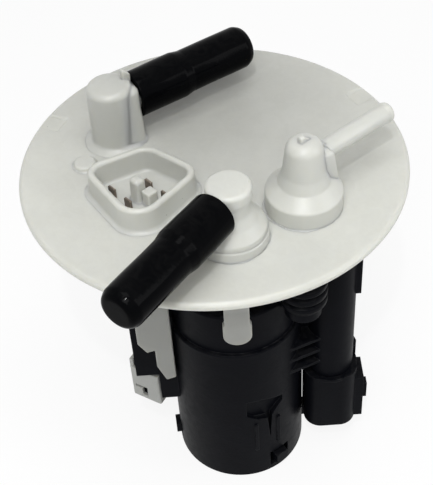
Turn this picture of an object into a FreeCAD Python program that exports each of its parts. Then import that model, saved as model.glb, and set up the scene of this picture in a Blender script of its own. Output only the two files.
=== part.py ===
import FreeCAD, Part
import math
import os
import Sketcher

# In-tank fuel filter. A round white flange closes the tank opening; a black filter
# canister, a pressure regulator column and a side plug hang under it.
# Frame: millimetres, origin at the centre of the flange's underside sealing land,
# +Z up out of the tank, -Y towards the front, where the canister hangs.

os.makedirs("parts", exist_ok=True)
doc = FreeCAD.newDocument("tank_filter")
V = FreeCAD.Vector

# Driving dimensions, in millimetres and degrees. Heights of what stands on the flange
# are counted from its top face; the rest are places in the frame.
VALUES = (
    # flange plate
    ("flange_radius", 60.0),
    ("flange_thick", 2.4),
    ("rim_round", 1.0),
    ("seal_width", 3.6),
    ("seal_relief", 0.3),
    ("recess_width", 7.0),
    ("recess_length", 7.5),
    ("recess_depth", 0.7),
    ("recess_left_turn", 155.0),
    ("recess_right_turn", 28.6),
    # inlet tower, moulded with the flange
    ("inlet_x", -29.8),
    ("inlet_y", 13.9),
    ("inlet_turn", 32.2),
    ("inlet_radius", 6.8),
    ("inlet_height", 23.5),
    ("inlet_round", 1.4),
    ("inlet_axis", 13.5),
    ("inlet_reach", 26.0),
    ("inlet_pipe", 4.5),
    ("inlet_barb", 5.0),
    ("inlet_bore", 2.8),
    ("inlet_face", 6.9),
    ("inlet_web", 10.5),
    ("inlet_web_height", 20.5),
    ("inlet_nub_start", 4.4),
    ("inlet_nub_width", 1.8),
    ("inlet_nub_rise", 1.4),
    ("pad_x", -39.6),
    ("pad_y", 1.8),
    ("pad_radius", 3.2),
    ("pad_height", 0.8),
    ("inlet_foot", 8.2),
    ("inlet_foot_height", 0.8),
    # outlet tower, welded on
    ("outlet_x", 3.6),
    ("outlet_y", -33.8),
    ("outlet_turn", -127.9),
    ("outlet_radius", 6.5),
    ("outlet_height", 20.0),
    ("outlet_round", 2.6),
    ("outlet_axis", 14.3),
    ("outlet_reach", 25.5),
    ("outlet_pipe", 4.1),
    ("outlet_barb", 4.6),
    ("outlet_bore", 2.6),
    ("outlet_ring", 11.1),
    ("outlet_ring_height", 3.4),
    ("outlet_step", 10.5),
    ("outlet_shoulder", 5.0),
    ("outlet_neck", 7.7),
    ("outlet_step_height", 7.0),
    # vent tower, welded on
    ("vent_x", 25.3),
    ("vent_y", -22.6),
    ("vent_turn", 36.9),
    ("vent_ring", 11.6),
    ("vent_ring_height", 5.0),
    ("vent_waist", 8.3),
    ("vent_waist_height", 8.4),
    ("vent_flare", 6.3),
    ("vent_flare_height", 13.0),
    ("vent_top", 5.5),
    ("vent_height", 23.4),
    ("vent_round", 1.6),
    ("vent_axis", 16.0),
    ("vent_reach", 34.1),
    ("vent_pipe", 2.95),
    ("vent_bead", 3.35),
    ("vent_bead_length", 2.2),
    ("vent_bore", 1.8),
    ("vent_web", 10.0),
    ("vent_face", 8.4),
    ("vent_web_foot", 11.2),
    ("vent_ridge", 1.4),
    ("vent_nub", 2.6),
    ("vent_nub_width", 1.8),
    ("weld_round", 0.8),
    # barbs on both capped pipes
    ("barb_length", 3.2),
    ("barb_back", 0.6),
    ("pipe_lead", 0.5),
    ("riser_room", 0.3),
    # rubber caps
    ("cap_clearance", 0.3),
    ("cap_length", 43.2),
    ("cap_wall", 1.6),
    ("cap_swell", 0.35),
    ("cap_swell_length", 17.0),
    ("cap_step_length", 2.4),
    ("cap_end_wall", 3.0),
    ("cap_end_round", 2.8),
    ("cap_lip_round", 0.6),
    # connector shroud with its four blades
    ("shroud_x", -22.1),
    ("shroud_y", -13.2),
    ("shroud_turn", -50.0),
    ("shroud_length", 29.2),
    ("shroud_width", 22.6),
    ("shroud_height", 8.0),
    ("shroud_wall", 1.8),
    ("shroud_corner", 5.2),
    ("shroud_lip", 0.8),
    ("key_length", 3.4),
    ("key_width", 3.2),
    ("key_height", 7.4),
    ("key_round", 1.4),
    ("key_offset", 1.4),
    ("key_row", -2.2),
    ("block_length", 3.5),
    ("block_height", 3.6),
    ("block_offset", 5.0),
    ("block_row", -0.6),
    ("block_round", 0.5),
    ("blade_width", 2.8),
    ("blade_thick", 0.8),
    ("blade_up", 3.6),
    ("blade_down", 8.0),
    ("blade_tip", 0.25),
    ("blade_pitch", 7.5),
    ("blade_front_shift", -5.4),
    ("blade_front_row", -6.6),
    ("blade_back_shift", 0.1),
    ("blade_back_row", 3.0),
    # canister
    ("can_x", 3.5),
    ("can_y", -27.1),
    ("can_radius", 21.3),
    ("can_top", -18.3),
    ("can_bottom", -98.0),
    ("can_rim", -34.4),
    ("can_rim_step", 1.3),
    ("can_rim_round", 0.5),
    ("can_wall", 2.4),
    ("can_roof", 2.4),
    ("can_edge", 0.8),
    ("socket_wall", 1.8),
    ("socket_rise", 5.5),
    ("spigot_radius", 4.0),
    ("spigot_bore", 2.2),
    ("spigot_depth", 3.0),
    ("spigot_clearance", 0.1),
    ("collar_radius", 12.9),
    ("collar_wall", 1.4),
    ("collar_depth", 4.2),
    ("duct_x", 0.7),
    ("duct_y", -11.3),
    ("duct_width", 8.6),
    ("duct_depth", 7.6),
    # filter element in the canister
    ("element_gap", 1.6),
    ("element_cap", 1.4),
    ("element_inner", 8.2),
    ("element_bottom", -90.2),
    ("media_band", 3.2),
    ("pleat_count", 32),
    ("pleat_inset", 0.5),
    ("core_radius", 7.6),
    ("core_wall", 0.9),
    ("core_hole", 1.5),
    ("core_rows", 5),
    ("core_columns", 6),
    ("neck_wall", 1.3),
    ("ring_section", 0.9),
    # bottom lid and its snap catches
    ("lid_thick", 3.6),
    ("lid_clearance", 0.1),
    ("catch_width", 4.4),
    ("catch_height", 4.2),
    ("catch_rise", 3.6),
    ("catch_out", 1.5),
    ("catch_room", 1.6),
    ("catch_turn", 5.0),
    ("catch_spread", 60.0),
    # latch recess low on the canister's front
    ("latch_turn", -67.0),
    ("latch_depth", 2.0),
    ("latch_left", -6.8),
    ("latch_right", 5.8),
    ("latch_middle", -1.7),
    ("latch_top", -57.9),
    ("latch_low", -67.6),
    ("latch_step", 2.6),
    ("latch_slot", 0.9),
    ("latch_slot_end", -79.6),
    ("latch_rib", 1.2),
    ("latch_rib_place", 4.0),
    ("latch_rib_out", 0.1),
    ("latch_rib_end", -84.0),
    # regulator column, web and fins
    ("column_x", 33.6),
    ("column_y", -30.7),
    ("column_radius", 7.45),
    ("column_top", -6.0),
    ("column_bottom", -60.6),
    ("column_wall", 1.7),
    ("web_thick", 2.6),
    ("web_bottom", -54.0),
    ("fin_thick", 1.1),
    ("fin_pitch", 5.5),
    ("fin_count", 3),
    ("fin_can_turn", -41.7),
    ("fin_column_turn", -121.1),
    ("fin_bite", 0.2),
    ("lug_out", 8.6),
    ("lug_width", 6.0),
    ("lug_bottom", -26.0),
    ("lug_thick", 3.6),
    ("lug_bridge", 4.0),
    # corrugated hose
    ("hose_x", 23.5),
    ("hose_y", -42.3),
    ("hose_crest", 7.2),
    ("hose_valley", 5.9),
    ("hose_wall", 0.8),
    ("hose_ribs", 5),
    ("hose_valley_share", 0.22),
    ("hose_flank_share", 0.42),
    ("hose_crest_share", 0.8),
    ("hose_pipe", 3.9),
    ("hose_grip", 3.6),
    ("hose_clearance", 0.1),
    ("shoulder_radius", 5.6),
    ("shoulder_depth", 6.0),
    # retainer under the column
    ("retainer_width", 17.2),
    ("retainer_depth", 16.4),
    ("retainer_corner", 5.6),
    ("retainer_length", 28.0),
    ("retainer_chamfer", 2.6),
    ("retainer_floor", 3.0),
    ("retainer_bore", 6.3),
    ("skirt_rise", 7.0),
    ("skirt_wall", 1.2),
    ("skirt_clearance", 0.2),
    ("ear_out", 2.4),
    ("ear_width", 9.0),
    ("ear_top", -66.0),
    ("ear_bottom", -86.0),
    ("nub_out", 1.7),
    ("nub_top", -73.0),
    ("nub_bottom", -80.0),
    # pressure regulator
    ("bonnet_radius", 5.0),
    ("bonnet_length", 13.0),
    ("bonnet_wall", 0.6),
    ("bonnet_edge", 0.9),
    ("crimp_radius", 6.1),
    ("crimp_thick", 0.9),
    ("diaphragm_thick", 0.7),
    ("base_radius", 5.1),
    ("base_length", 14.0),
    ("base_neck", 3.0),
    ("base_neck_length", 4.5),
    ("seat_bore", 1.5),
    ("valve_radius", 2.2),
    ("valve_thick", 1.6),
    ("valve_travel", 0.8),
    ("valve_clearance", 0.3),
    ("spring_radius", 1.7),
    ("spring_wire", 0.45),
    ("spring_turns", 5.0),
    ("seal_section", 0.6),
    ("seal_clearance", 0.05),
    # snap arm and tongue under the flange
    ("arm_left", -27.4),
    ("arm_split", -22.3),
    ("arm_right", -16.6),
    ("arm_y", -36.2),
    ("arm_thick", 2.4),
    ("arm_short", -38.6),
    ("arm_short_tip", -43.0),
    ("arm_long", -50.1),
    ("arm_long_tip", -57.1),
    ("arm_point", -19.7),
    ("arm_short_rise", 0.8),
    ("arm_long_rise", 1.2),
    ("arm_step", 0.7),
    ("arm_step_right", -23.8),
    ("tongue_x", 3.6),
    ("tongue_width", 7.4),
    ("tongue_thick", 1.9),
    ("tongue_gap", 0.5),
    ("tongue_tip", 4.25),
    ("tongue_end", -26.1),
    ("tongue_flare", -17.6),
    # side bracket, plug and its cover
    ("bracket_left", -29.6),
    ("bracket_right", -16.0),
    ("bracket_thick", 4.6),
    ("bracket_gap", 0.4),
    ("bracket_top", -30.0),
    ("shelf_rise", 5.0),
    ("shelf_bottom", -70.0),
    ("shelf_left", -19.7),
    ("shelf_corner", -22.3),
    ("shelf_slant", -28.6),
    ("plug_x", -26.4),
    ("plug_y", -28.1),
    ("plug_turn", -32.0),
    ("plug_width", 8.6),
    ("plug_depth", 2.8),
    ("plug_top", -57.6),
    ("plug_rise", 3.6),
    ("plug_ridge", 0.5),
    ("cover_wall", 1.2),
    ("cover_height", 14.8),
    ("cover_ear", 3.4),
    ("cover_floor", 1.6),
    ("cover_edge", 0.8),
    ("window_width", 4.6),
    ("window_height", 4.6),
    ("window_stroke", 1.4),
    ("window_bar", 2.2),
    ("window_left", -4.0),
    ("window_top", -69.5),
)

size = doc.addObject("Spreadsheet::Sheet", "size")
for row, (alias, number) in enumerate(VALUES, start=1):
    size.set(f"A{row}", alias)
    size.set(f"B{row}", str(number))
    size.setAlias(f"B{row}", alias)
doc.recompute()


def value(expression):
    """The number that an expression in the sheet's names gives."""
    return float(size.evalExpression(expression))


def new_body(label):
    """A body whose label names its file."""
    body = doc.addObject("PartDesign::Body", label)
    body.Label = label
    return body


def sketch(body, plane="XY_Plane", x="0", y="0", z="0", turn="0"):
    """A sketch on an origin plane of the body, carried to x, y, z and turned about the upright."""
    base = next(item for item in body.Origin.OriginFeatures if item.Role == plane)
    drawing = body.newObject("Sketcher::SketchObject", body.Name + "_sketch")
    drawing.AttachmentSupport = [(base, "")]
    drawing.MapMode = "FlatFace"
    upright = V(0, 1, 0) if plane == "XZ_Plane" else V(0, 0, 1)
    drawing.AttachmentOffset = FreeCAD.Placement(V(0, 0, 0), FreeCAD.Rotation(upright, 1))
    along = (x, z, f"-({y})") if plane == "XZ_Plane" else (x, y, z)
    for axis, expression in zip("xyz", along):
        drawing.setExpression(f"AttachmentOffset.Base.{axis}", expression)
    drawing.setExpression("AttachmentOffset.Rotation.Angle", turn)
    return drawing


def place_point(drawing, geometry, point, x, y):
    """Hold one point of a sketch at x, y."""
    for kind, expression, axis in (("DistanceX", x, -2), ("DistanceY", y, -1)):
        number = value(expression)
        if abs(number) < 1e-9:
            drawing.addConstraint(Sketcher.Constraint("PointOnObject", geometry, point, axis))
        else:
            rule = drawing.addConstraint(Sketcher.Constraint(kind, -1, 1, geometry, point, number))
            drawing.setExpression(f"Constraints[{rule}]", expression)


def polygon(drawing, points):
    """A closed outline through the points, each an x and a y expression."""
    first = drawing.GeometryCount
    spots = [V(value(x), value(y), 0) for x, y in points]
    for start, end in zip(spots, spots[1:] + spots[:1]):
        drawing.addGeometry(Part.LineSegment(start, end), False)
    count = len(points)
    for index in range(count):
        after = first + (index + 1) % count
        drawing.addConstraint(Sketcher.Constraint("Coincident", first + index, 2, after, 1))
    for index, (x, y) in enumerate(points):
        place_point(drawing, first + index, 1, x, y)


def circle(drawing, x, y, radius):
    """A full circle."""
    spot = V(value(x), value(y), 0)
    index = drawing.addGeometry(Part.Circle(spot, V(0, 0, 1), value(radius)), False)
    place_point(drawing, index, 3, x, y)
    rule = drawing.addConstraint(Sketcher.Constraint("Radius", index, value(radius)))
    drawing.setExpression(f"Constraints[{rule}]", radius)


def box(drawing, x0, x1, y0, y1):
    """A rectangle between two x and two y values."""
    polygon(drawing, ((x0, y0), (x1, y0), (x1, y1), (x0, y1)))


def turned(body, drawing, axis="V_Axis", cut=False):
    """Turn a half section about its sketch's upright or level axis."""
    kind = "PartDesign::Groove" if cut else "PartDesign::Revolution"
    feature = body.newObject(kind, body.Name + ("_groove" if cut else "_turned"))
    feature.Profile = drawing
    feature.ReferenceAxis = (drawing, [axis])
    feature.Angle = 360.0
    doc.recompute()
    return feature


def pad(body, drawing, length, downwards=False, both=False):
    """Raise a sketch to a length."""
    feature = body.newObject("PartDesign::Pad", body.Name + "_pad")
    feature.Profile = drawing
    feature.setExpression("Length", length)
    feature.Reversed = downwards
    feature.Midplane = both
    doc.recompute()
    return feature


def pocket(body, drawing, length, upwards=False, both=False):
    """Cut a sketch into the body to a depth."""
    before = body.Shape.Volume
    feature = body.newObject("PartDesign::Pocket", body.Name + "_pocket")
    feature.Profile = drawing
    feature.setExpression("Length", length)
    feature.Reversed = upwards
    feature.Midplane = both
    doc.recompute()
    if body.Shape.Volume >= before:
        raise RuntimeError(f"{feature.Name} cuts nothing")
    return feature


def edge_feature(body, kind, amount, wanted):
    """Round or bevel the edges of the body that the test picks."""
    base = body.Tip
    names = [f"Edge{number}" for number, edge in enumerate(base.Shape.Edges, start=1) if wanted(edge)]
    feature = body.newObject("PartDesign::" + kind, body.Name + "_" + kind.lower())
    feature.Base = (base, names)
    feature.setExpression("Radius" if kind == "Fillet" else "Size", amount)
    doc.recompute()
    return feature


def ring_edge(radius, height):
    """A test for a level circular edge of a radius at a height."""
    def test(edge):
        curve = edge.Curve
        if not isinstance(curve, Part.Circle):
            return False
        level = abs(abs(curve.Axis.z) - 1) < 1e-6 and abs(curve.Center.z - value(height)) < 1e-4
        return level and abs(curve.Radius - value(radius)) < 1e-4
    return test


def rod_edge(radius):
    """A test for a circular edge, of a radius, round a level axis."""
    def test(edge):
        curve = edge.Curve
        if not isinstance(curve, Part.Circle):
            return False
        return abs(curve.Axis.z) < 1e-6 and abs(curve.Radius - value(radius)) < 1e-4
    return test


def upright_edges(low, high, x, y, reach):
    """A test for straight upright edges from one height to another, within reach of a point."""
    def test(edge):
        if not isinstance(edge.Curve, Part.Line) or len(edge.Vertexes) != 2:
            return False
        ends = sorted((vertex.Point for vertex in edge.Vertexes), key=lambda point: point.z)
        upright = math.hypot(ends[0].x - ends[1].x, ends[0].y - ends[1].y) < 1e-6
        spans = abs(ends[0].z - value(low)) < 1e-4 and abs(ends[1].z - value(high)) < 1e-4
        near = math.hypot(ends[0].x - value(x), ends[0].y - value(y)) < value(reach)
        return upright and spans and near
    return test


def level_edges(height):
    """A test for edges that lie wholly at a height."""
    def test(edge):
        return all(abs(vertex.Z - value(height)) < 1e-4 for vertex in edge.Vertexes)
    return test


# Names of places that several pieces share.
TOP = "size.flange_thick"
CAN = {"x": "size.can_x", "y": "size.can_y"}
COLUMN = {"x": "size.column_x", "y": "size.column_y"}
INLET = {"x": "size.inlet_x", "y": "size.inlet_y"}
OUTLET = {"x": "size.outlet_x", "y": "size.outlet_y"}
VENT = {"x": "size.vent_x", "y": "size.vent_y"}
HOSE = {"x": "size.hose_x", "y": "size.hose_y"}
SHROUD = {"x": "size.shroud_x", "y": "size.shroud_y", "turn": "size.shroud_turn"}
DUCT = {"x": "size.duct_x", "y": "size.duct_y"}
SPIGOT_END = "(size.can_top + size.socket_rise - size.can_roof - size.spigot_depth)"
CAN_INNER = "(size.can_radius - size.can_wall)"
CAN_UPPER = "(size.can_radius - size.can_rim_step)"
ROOF_UNDER = "(size.can_top - size.can_roof)"

# The four blades: two in the front row, two in the back row.
BLADES = (
    ("terminal_a", "size.blade_front_shift", "size.blade_front_row"),
    ("terminal_b", "size.blade_front_shift + size.blade_pitch", "size.blade_front_row"),
    ("terminal_c", "size.blade_back_shift", "size.blade_back_row"),
    ("terminal_d", "size.blade_back_shift + size.blade_pitch", "size.blade_back_row"),
)


def barbed_pipe(drawing, reach, pipe, barb):
    """Half section of a hose pipe with a barb at its end."""
    polygon(drawing, (
        ("0", "0"),
        (reach, "0"),
        (reach, f"{pipe} - size.pipe_lead"),
        (f"{reach} - size.barb_length", barb),
        (f"{reach} - size.barb_length - size.barb_back", pipe),
        ("0", pipe),
    ))


def bore_out(body, place, axis, turn, reach, bore, bottom):
    """Bore a pipe out along its axis and down its tower to a level."""
    level = sketch(body, z=f"{TOP} + {axis}", turn=turn, **place)
    box(level, f"-{bore}", f"{reach} + 1", "0", bore)
    turned(body, level, "H_Axis", cut=True)
    upright = sketch(body, "XZ_Plane", **place)
    box(upright, "0", f"{bore} + size.riser_room", bottom, f"{TOP} + {axis} + size.riser_room")
    turned(body, upright, cut=True)


# Flange: one moulding with the inlet tower, the connector shroud, the snap arm and the
# tongue. A raised land round the underside seals on the tank opening.
flange = new_body("flange")
section = sketch(flange, "XZ_Plane")
polygon(section, (
    ("0", "size.seal_relief"),
    ("size.flange_radius - size.seal_width", "size.seal_relief"),
    ("size.flange_radius - size.seal_width", "0"),
    ("size.flange_radius", "0"),
    ("size.flange_radius", TOP),
    ("0", TOP),
))
turned(flange, section)
edge_feature(flange, "Fillet", "size.rim_round", ring_edge("size.flange_radius", TOP))
for recess in ("size.recess_left_turn", "size.recess_right_turn"):
    outline = sketch(flange, z=TOP, turn=recess)
    box(outline, "size.flange_radius - size.recess_length", "size.flange_radius + 2",
        "-size.recess_width / 2", "size.recess_width / 2")
    pocket(flange, outline, "size.recess_depth")

# Inlet tower: a round post on a low foot, with a flat-faced web behind the pipe.
post = sketch(flange, "XZ_Plane", **INLET)
polygon(post, (
    ("0", "size.flange_thick / 2"),
    ("size.inlet_foot", "size.flange_thick / 2"),
    ("size.inlet_foot", f"{TOP} + size.inlet_foot_height"),
    ("size.inlet_radius", f"{TOP} + size.inlet_foot_height"),
    ("size.inlet_radius", f"{TOP} + size.inlet_height"),
    ("0", f"{TOP} + size.inlet_height"),
))
turned(flange, post)
edge_feature(flange, "Fillet", "size.inlet_round",
             ring_edge("size.inlet_radius", f"{TOP} + size.inlet_height"))
web = sketch(flange, z="size.flange_thick / 2", turn="size.inlet_turn", **INLET)
box(web, "0", "size.inlet_face", "-size.inlet_web / 2", "size.inlet_web / 2")
pad(flange, web, "size.flange_thick / 2 + size.inlet_web_height")
nub = sketch(flange, "XZ_Plane", turn="size.inlet_turn", **INLET)
polygon(nub, (
    ("size.inlet_nub_start", f"{TOP} + size.inlet_web_height - 1"),
    ("size.inlet_face", f"{TOP} + size.inlet_web_height - 1"),
    ("size.inlet_face", f"{TOP} + size.inlet_height - size.inlet_nub_rise"),
    ("size.inlet_nub_start + size.inlet_nub_rise", f"{TOP} + size.inlet_height + size.inlet_nub_rise"),
    ("size.inlet_nub_start", f"{TOP} + size.inlet_height + size.inlet_nub_rise"),
))
pad(flange, nub, "size.inlet_nub_width", both=True)
pipe = sketch(flange, z=f"{TOP} + size.inlet_axis", turn="size.inlet_turn", **INLET)
barbed_pipe(pipe, "size.inlet_reach", "size.inlet_pipe", "size.inlet_barb")
turned(flange, pipe, "H_Axis")

# Low round pad beside the tower.
spot = sketch(flange, z=TOP, x="size.pad_x", y="size.pad_y")
circle(spot, "0", "0", "size.pad_radius")
pad(flange, spot, "size.pad_height")

# Connector shroud: a rounded rectangular cup with a key post and a locating block.
shroud = sketch(flange, z="size.flange_thick / 2", **SHROUD)
box(shroud, "-size.shroud_length / 2", "size.shroud_length / 2",
    "-size.shroud_width / 2", "size.shroud_width / 2")
pad(flange, shroud, "size.flange_thick / 2 + size.shroud_height")
RIM = f"{TOP} + size.shroud_height"
edge_feature(flange, "Fillet", "size.shroud_corner",
             upright_edges(TOP, RIM, "size.shroud_x", "size.shroud_y", "size.shroud_length"))
cup = sketch(flange, z=RIM, **SHROUD)
box(cup, "size.shroud_wall - size.shroud_length / 2", "size.shroud_length / 2 - size.shroud_wall",
    "size.shroud_wall - size.shroud_width / 2", "size.shroud_width / 2 - size.shroud_wall")
pocket(flange, cup, "size.shroud_height")
edge_feature(flange, "Fillet", "size.shroud_corner - size.shroud_wall",
             upright_edges(TOP, RIM, "size.shroud_x", "size.shroud_y", "size.shroud_length"))
edge_feature(flange, "Fillet", "size.shroud_lip", level_edges(RIM))
for length, width, along, across, rise, soft in (
        ("size.key_length", "size.key_width", "size.key_offset", "size.key_row",
         "size.key_height", "size.key_round"),
        ("size.block_length", "size.block_length", "size.block_offset", "size.block_row",
         "size.block_height", "size.block_round")):
    post = sketch(flange, z=TOP, **SHROUD)
    box(post, f"{along} - {length} / 2", f"{along} + {length} / 2",
        f"{across} - {width} / 2", f"{across} + {width} / 2")
    pad(flange, post, rise)
    edge_feature(flange, "Fillet", soft, level_edges(f"{TOP} + {rise}"))

# Underside duct: it carries the inlet's fuel along the flange to the canister.
span = "(size.duct_x - size.inlet_x)"
drop = "(size.duct_y - size.inlet_y)"
run = f"sqrt({span} * {span} + {drop} * {drop})"
heading = f"atan2({drop}; {span})"
duct = sketch(flange, z="size.seal_relief", turn=heading, **INLET)
box(duct, "0", run, "-size.duct_width / 2", "size.duct_width / 2")
pad(flange, duct, "size.duct_depth + size.seal_relief", downwards=True)
for place in (INLET, DUCT):
    boss = sketch(flange, "XZ_Plane", **place)
    box(boss, "0", "size.duct_width / 2", "-size.duct_depth", "size.flange_thick / 2")
    turned(flange, boss)
spigot = sketch(flange, "XZ_Plane", **DUCT)
box(spigot, "0", "size.spigot_radius", SPIGOT_END, "-size.duct_depth / 2")
turned(flange, spigot)
bore_out(flange, INLET, "size.inlet_axis", "size.inlet_turn", "size.inlet_reach", "size.inlet_bore",
         "-size.duct_depth / 2")
channel = sketch(flange, z="-size.duct_depth / 2", turn=heading, **INLET)
box(channel, "-size.spigot_bore", run, "0", "size.spigot_bore")
turned(flange, channel, "H_Axis", cut=True)
drain = sketch(flange, "XZ_Plane", **DUCT)
box(drain, "0", "size.spigot_bore", f"{SPIGOT_END} - 1", "-size.duct_depth / 2")
turned(flange, drain, cut=True)

# Hose pipe, tower holes and blade slots.
stub = sketch(flange, "XZ_Plane", **HOSE)
box(stub, "0", "size.hose_pipe", "-size.hose_grip", "size.flange_thick / 2")
turned(flange, stub)
for place, hole in ((OUTLET, "size.spigot_radius + size.spigot_clearance"),
                    (VENT, "size.spigot_radius + size.spigot_clearance")):
    through = sketch(flange, z="-1", **place)
    circle(through, "0", "0", hole)
    pocket(flange, through, f"{TOP} + 2", upwards=True)
for label, along, across in BLADES:
    slot = sketch(flange, z="-1", **SHROUD)
    box(slot, f"{along} - size.blade_width / 2", f"{along} + size.blade_width / 2",
        f"{across} - size.blade_thick / 2", f"{across} + size.blade_thick / 2")
    pocket(flange, slot, f"{TOP} + 2", upwards=True)

# Tongue in front of the canister, with a round end that is a little wider.
tongue_y = "size.can_y - size.can_radius - size.tongue_gap - size.tongue_thick / 2"
tongue = sketch(flange, "XZ_Plane", x="size.tongue_x", y=tongue_y)
box(tongue, "-size.tongue_width / 2", "size.tongue_width / 2",
    "size.tongue_end + size.tongue_tip", "size.flange_thick / 2")
pad(flange, tongue, "size.tongue_thick", both=True)
flare = sketch(flange, "XZ_Plane", x="size.tongue_x", y=tongue_y)
box(flare, "-size.tongue_tip", "size.tongue_tip", "size.tongue_end + size.tongue_tip", "size.tongue_flare")
pad(flange, flare, "size.tongue_thick", both=True)
button = sketch(flange, "XZ_Plane", x="size.tongue_x", y=tongue_y)
circle(button, "0", "size.tongue_end + size.tongue_tip", "size.tongue_tip")
pad(flange, button, "size.tongue_thick", both=True)

# Snap arm beside the canister: a short and a long prong with slanted tips.
arm = sketch(flange, "XZ_Plane", y="size.arm_y")
polygon(arm, (
    ("size.arm_left", "size.flange_thick / 2"),
    ("size.arm_left", "size.arm_short"),
    ("(size.arm_left + size.arm_split) / 2", "size.arm_short_tip"),
    ("size.arm_split", "size.arm_short_tip + size.arm_short_rise"),
    ("size.arm_split", "size.arm_long"),
    ("size.arm_point", "size.arm_long_tip"),
    ("size.arm_right", "size.arm_long_tip + size.arm_long_rise"),
    ("size.arm_right", "size.flange_thick / 2"),
))
pad(flange, arm, "size.arm_thick", both=True)
step = sketch(flange, "XZ_Plane", y="size.arm_y - size.arm_thick / 2")
box(step, "size.arm_left - 1", "size.arm_step_right", "size.arm_short_tip - 1", "size.seal_relief")
pocket(flange, step, "size.arm_step")

# Outlet tower: a domed post on a stepped base, welded to the flange, with its pipe
# towards the front left and a spigot down into the canister.
outlet = new_body("outlet_tower")
section = sketch(outlet, "XZ_Plane", **OUTLET)
polygon(section, (
    ("0", SPIGOT_END),
    ("size.spigot_radius", SPIGOT_END),
    ("size.spigot_radius", TOP),
    ("size.outlet_ring", TOP),
    ("size.outlet_ring", f"{TOP} + size.outlet_ring_height"),
    ("size.outlet_step", f"{TOP} + size.outlet_ring_height"),
    ("size.outlet_step", f"{TOP} + size.outlet_shoulder"),
    ("size.outlet_neck", f"{TOP} + size.outlet_step_height"),
    ("size.outlet_radius", f"{TOP} + size.outlet_step_height"),
    ("size.outlet_radius", f"{TOP} + size.outlet_height"),
    ("0", f"{TOP} + size.outlet_height"),
))
turned(outlet, section)
edge_feature(outlet, "Fillet", "size.outlet_round",
             ring_edge("size.outlet_radius", f"{TOP} + size.outlet_height"))
edge_feature(outlet, "Fillet", "size.weld_round",
             ring_edge("size.outlet_step", f"{TOP} + size.outlet_shoulder"))
edge_feature(outlet, "Fillet", "size.weld_round / 2",
             ring_edge("size.outlet_ring", f"{TOP} + size.outlet_ring_height"))
pipe = sketch(outlet, z=f"{TOP} + size.outlet_axis", turn="size.outlet_turn", **OUTLET)
barbed_pipe(pipe, "size.outlet_reach", "size.outlet_pipe", "size.outlet_barb")
turned(outlet, pipe, "H_Axis")
bore_out(outlet, OUTLET, "size.outlet_axis", "size.outlet_turn", "size.outlet_reach",
         "size.outlet_bore", f"{SPIGOT_END} - 1")

# Vent tower: a tapered post on a bevelled ring, welded to the flange, with a thin open
# pipe towards the back right, a web under the pipe and a small nub on top.
vent = new_body("vent_tower")
section = sketch(vent, "XZ_Plane", **VENT)
polygon(section, (
    ("0", "-size.duct_depth"),
    ("size.spigot_radius", "-size.duct_depth"),
    ("size.spigot_radius", TOP),
    ("size.vent_ring", TOP),
    ("size.vent_ring", f"{TOP} + size.vent_ring_height"),
    ("size.vent_waist", f"{TOP} + size.vent_waist_height"),
    ("size.vent_flare", f"{TOP} + size.vent_flare_height"),
    ("size.vent_top", f"{TOP} + size.vent_height"),
    ("0", f"{TOP} + size.vent_height"),
))
turned(vent, section)
edge_feature(vent, "Fillet", "size.weld_round",
             ring_edge("size.vent_ring", f"{TOP} + size.vent_ring_height"))
edge_feature(vent, "Fillet", "size.vent_round",
             ring_edge("size.vent_top", f"{TOP} + size.vent_height"))
web = sketch(vent, "XZ_Plane", turn="size.vent_turn", **VENT)
polygon(web, (
    ("0", TOP),
    ("size.vent_web_foot", TOP),
    ("size.vent_web_foot", f"{TOP} + size.vent_ring_height"),
    ("size.vent_face", f"{TOP} + size.vent_axis + size.vent_pipe"),
    ("0", f"{TOP} + size.vent_axis + size.vent_pipe"),
))
pad(vent, web, "size.vent_web", both=True)
ridge = sketch(vent, "XZ_Plane", turn="size.vent_turn", **VENT)
polygon(ridge, (
    ("-size.vent_ridge", f"{TOP} + size.vent_axis"),
    ("size.vent_face", f"{TOP} + size.vent_axis"),
    ("size.vent_face", f"{TOP} + size.vent_axis + size.vent_pipe"),
    ("0", f"{TOP} + size.vent_height + size.vent_nub"),
    ("-size.vent_ridge", f"{TOP} + size.vent_height + size.vent_nub"),
))
pad(vent, ridge, "size.vent_nub_width", both=True)
pipe = sketch(vent, z=f"{TOP} + size.vent_axis", turn="size.vent_turn", **VENT)
polygon(pipe, (
    ("0", "0"),
    ("size.vent_reach", "0"),
    ("size.vent_reach", "size.vent_pipe"),
    ("size.vent_reach - size.vent_bead_length / 2", "size.vent_bead"),
    ("size.vent_reach - size.vent_bead_length", "size.vent_pipe"),
    ("0", "size.vent_pipe"),
))
turned(vent, pipe, "H_Axis")
bore_out(vent, VENT, "size.vent_axis", "size.vent_turn", "size.vent_reach", "size.vent_bore",
         "-size.duct_depth - 1")


def rubber_cap(label, place, axis, turn, start, barb):
    """A dipped cap: stretched over the pipe as far as the barb, slack beyond it."""
    body = new_body(label)
    bore = f"({barb} + size.cap_clearance)"
    slack = f"({bore} + size.cap_wall)"
    outer = f"({slack} + size.cap_swell)"
    begin = f"({start} + size.cap_clearance)"
    end = f"({begin} + size.cap_length)"
    half = sketch(body, z=f"{TOP} + {axis}", turn=turn, **place)
    polygon(half, (
        (begin, bore),
        (begin, outer),
        (f"{begin} + size.cap_swell_length", outer),
        (f"{begin} + size.cap_swell_length + size.cap_step_length", slack),
        (end, slack),
        (end, "0"),
        (f"{end} - size.cap_end_wall", "0"),
        (f"{end} - size.cap_end_wall", bore),
    ))
    turned(body, half, "H_Axis")
    edge_feature(body, "Fillet", "size.cap_end_round", rod_edge(slack + " * 1"))
    edge_feature(body, "Fillet", "size.cap_lip_round", lip_edge(place, turn, begin, outer))
    return body


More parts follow.
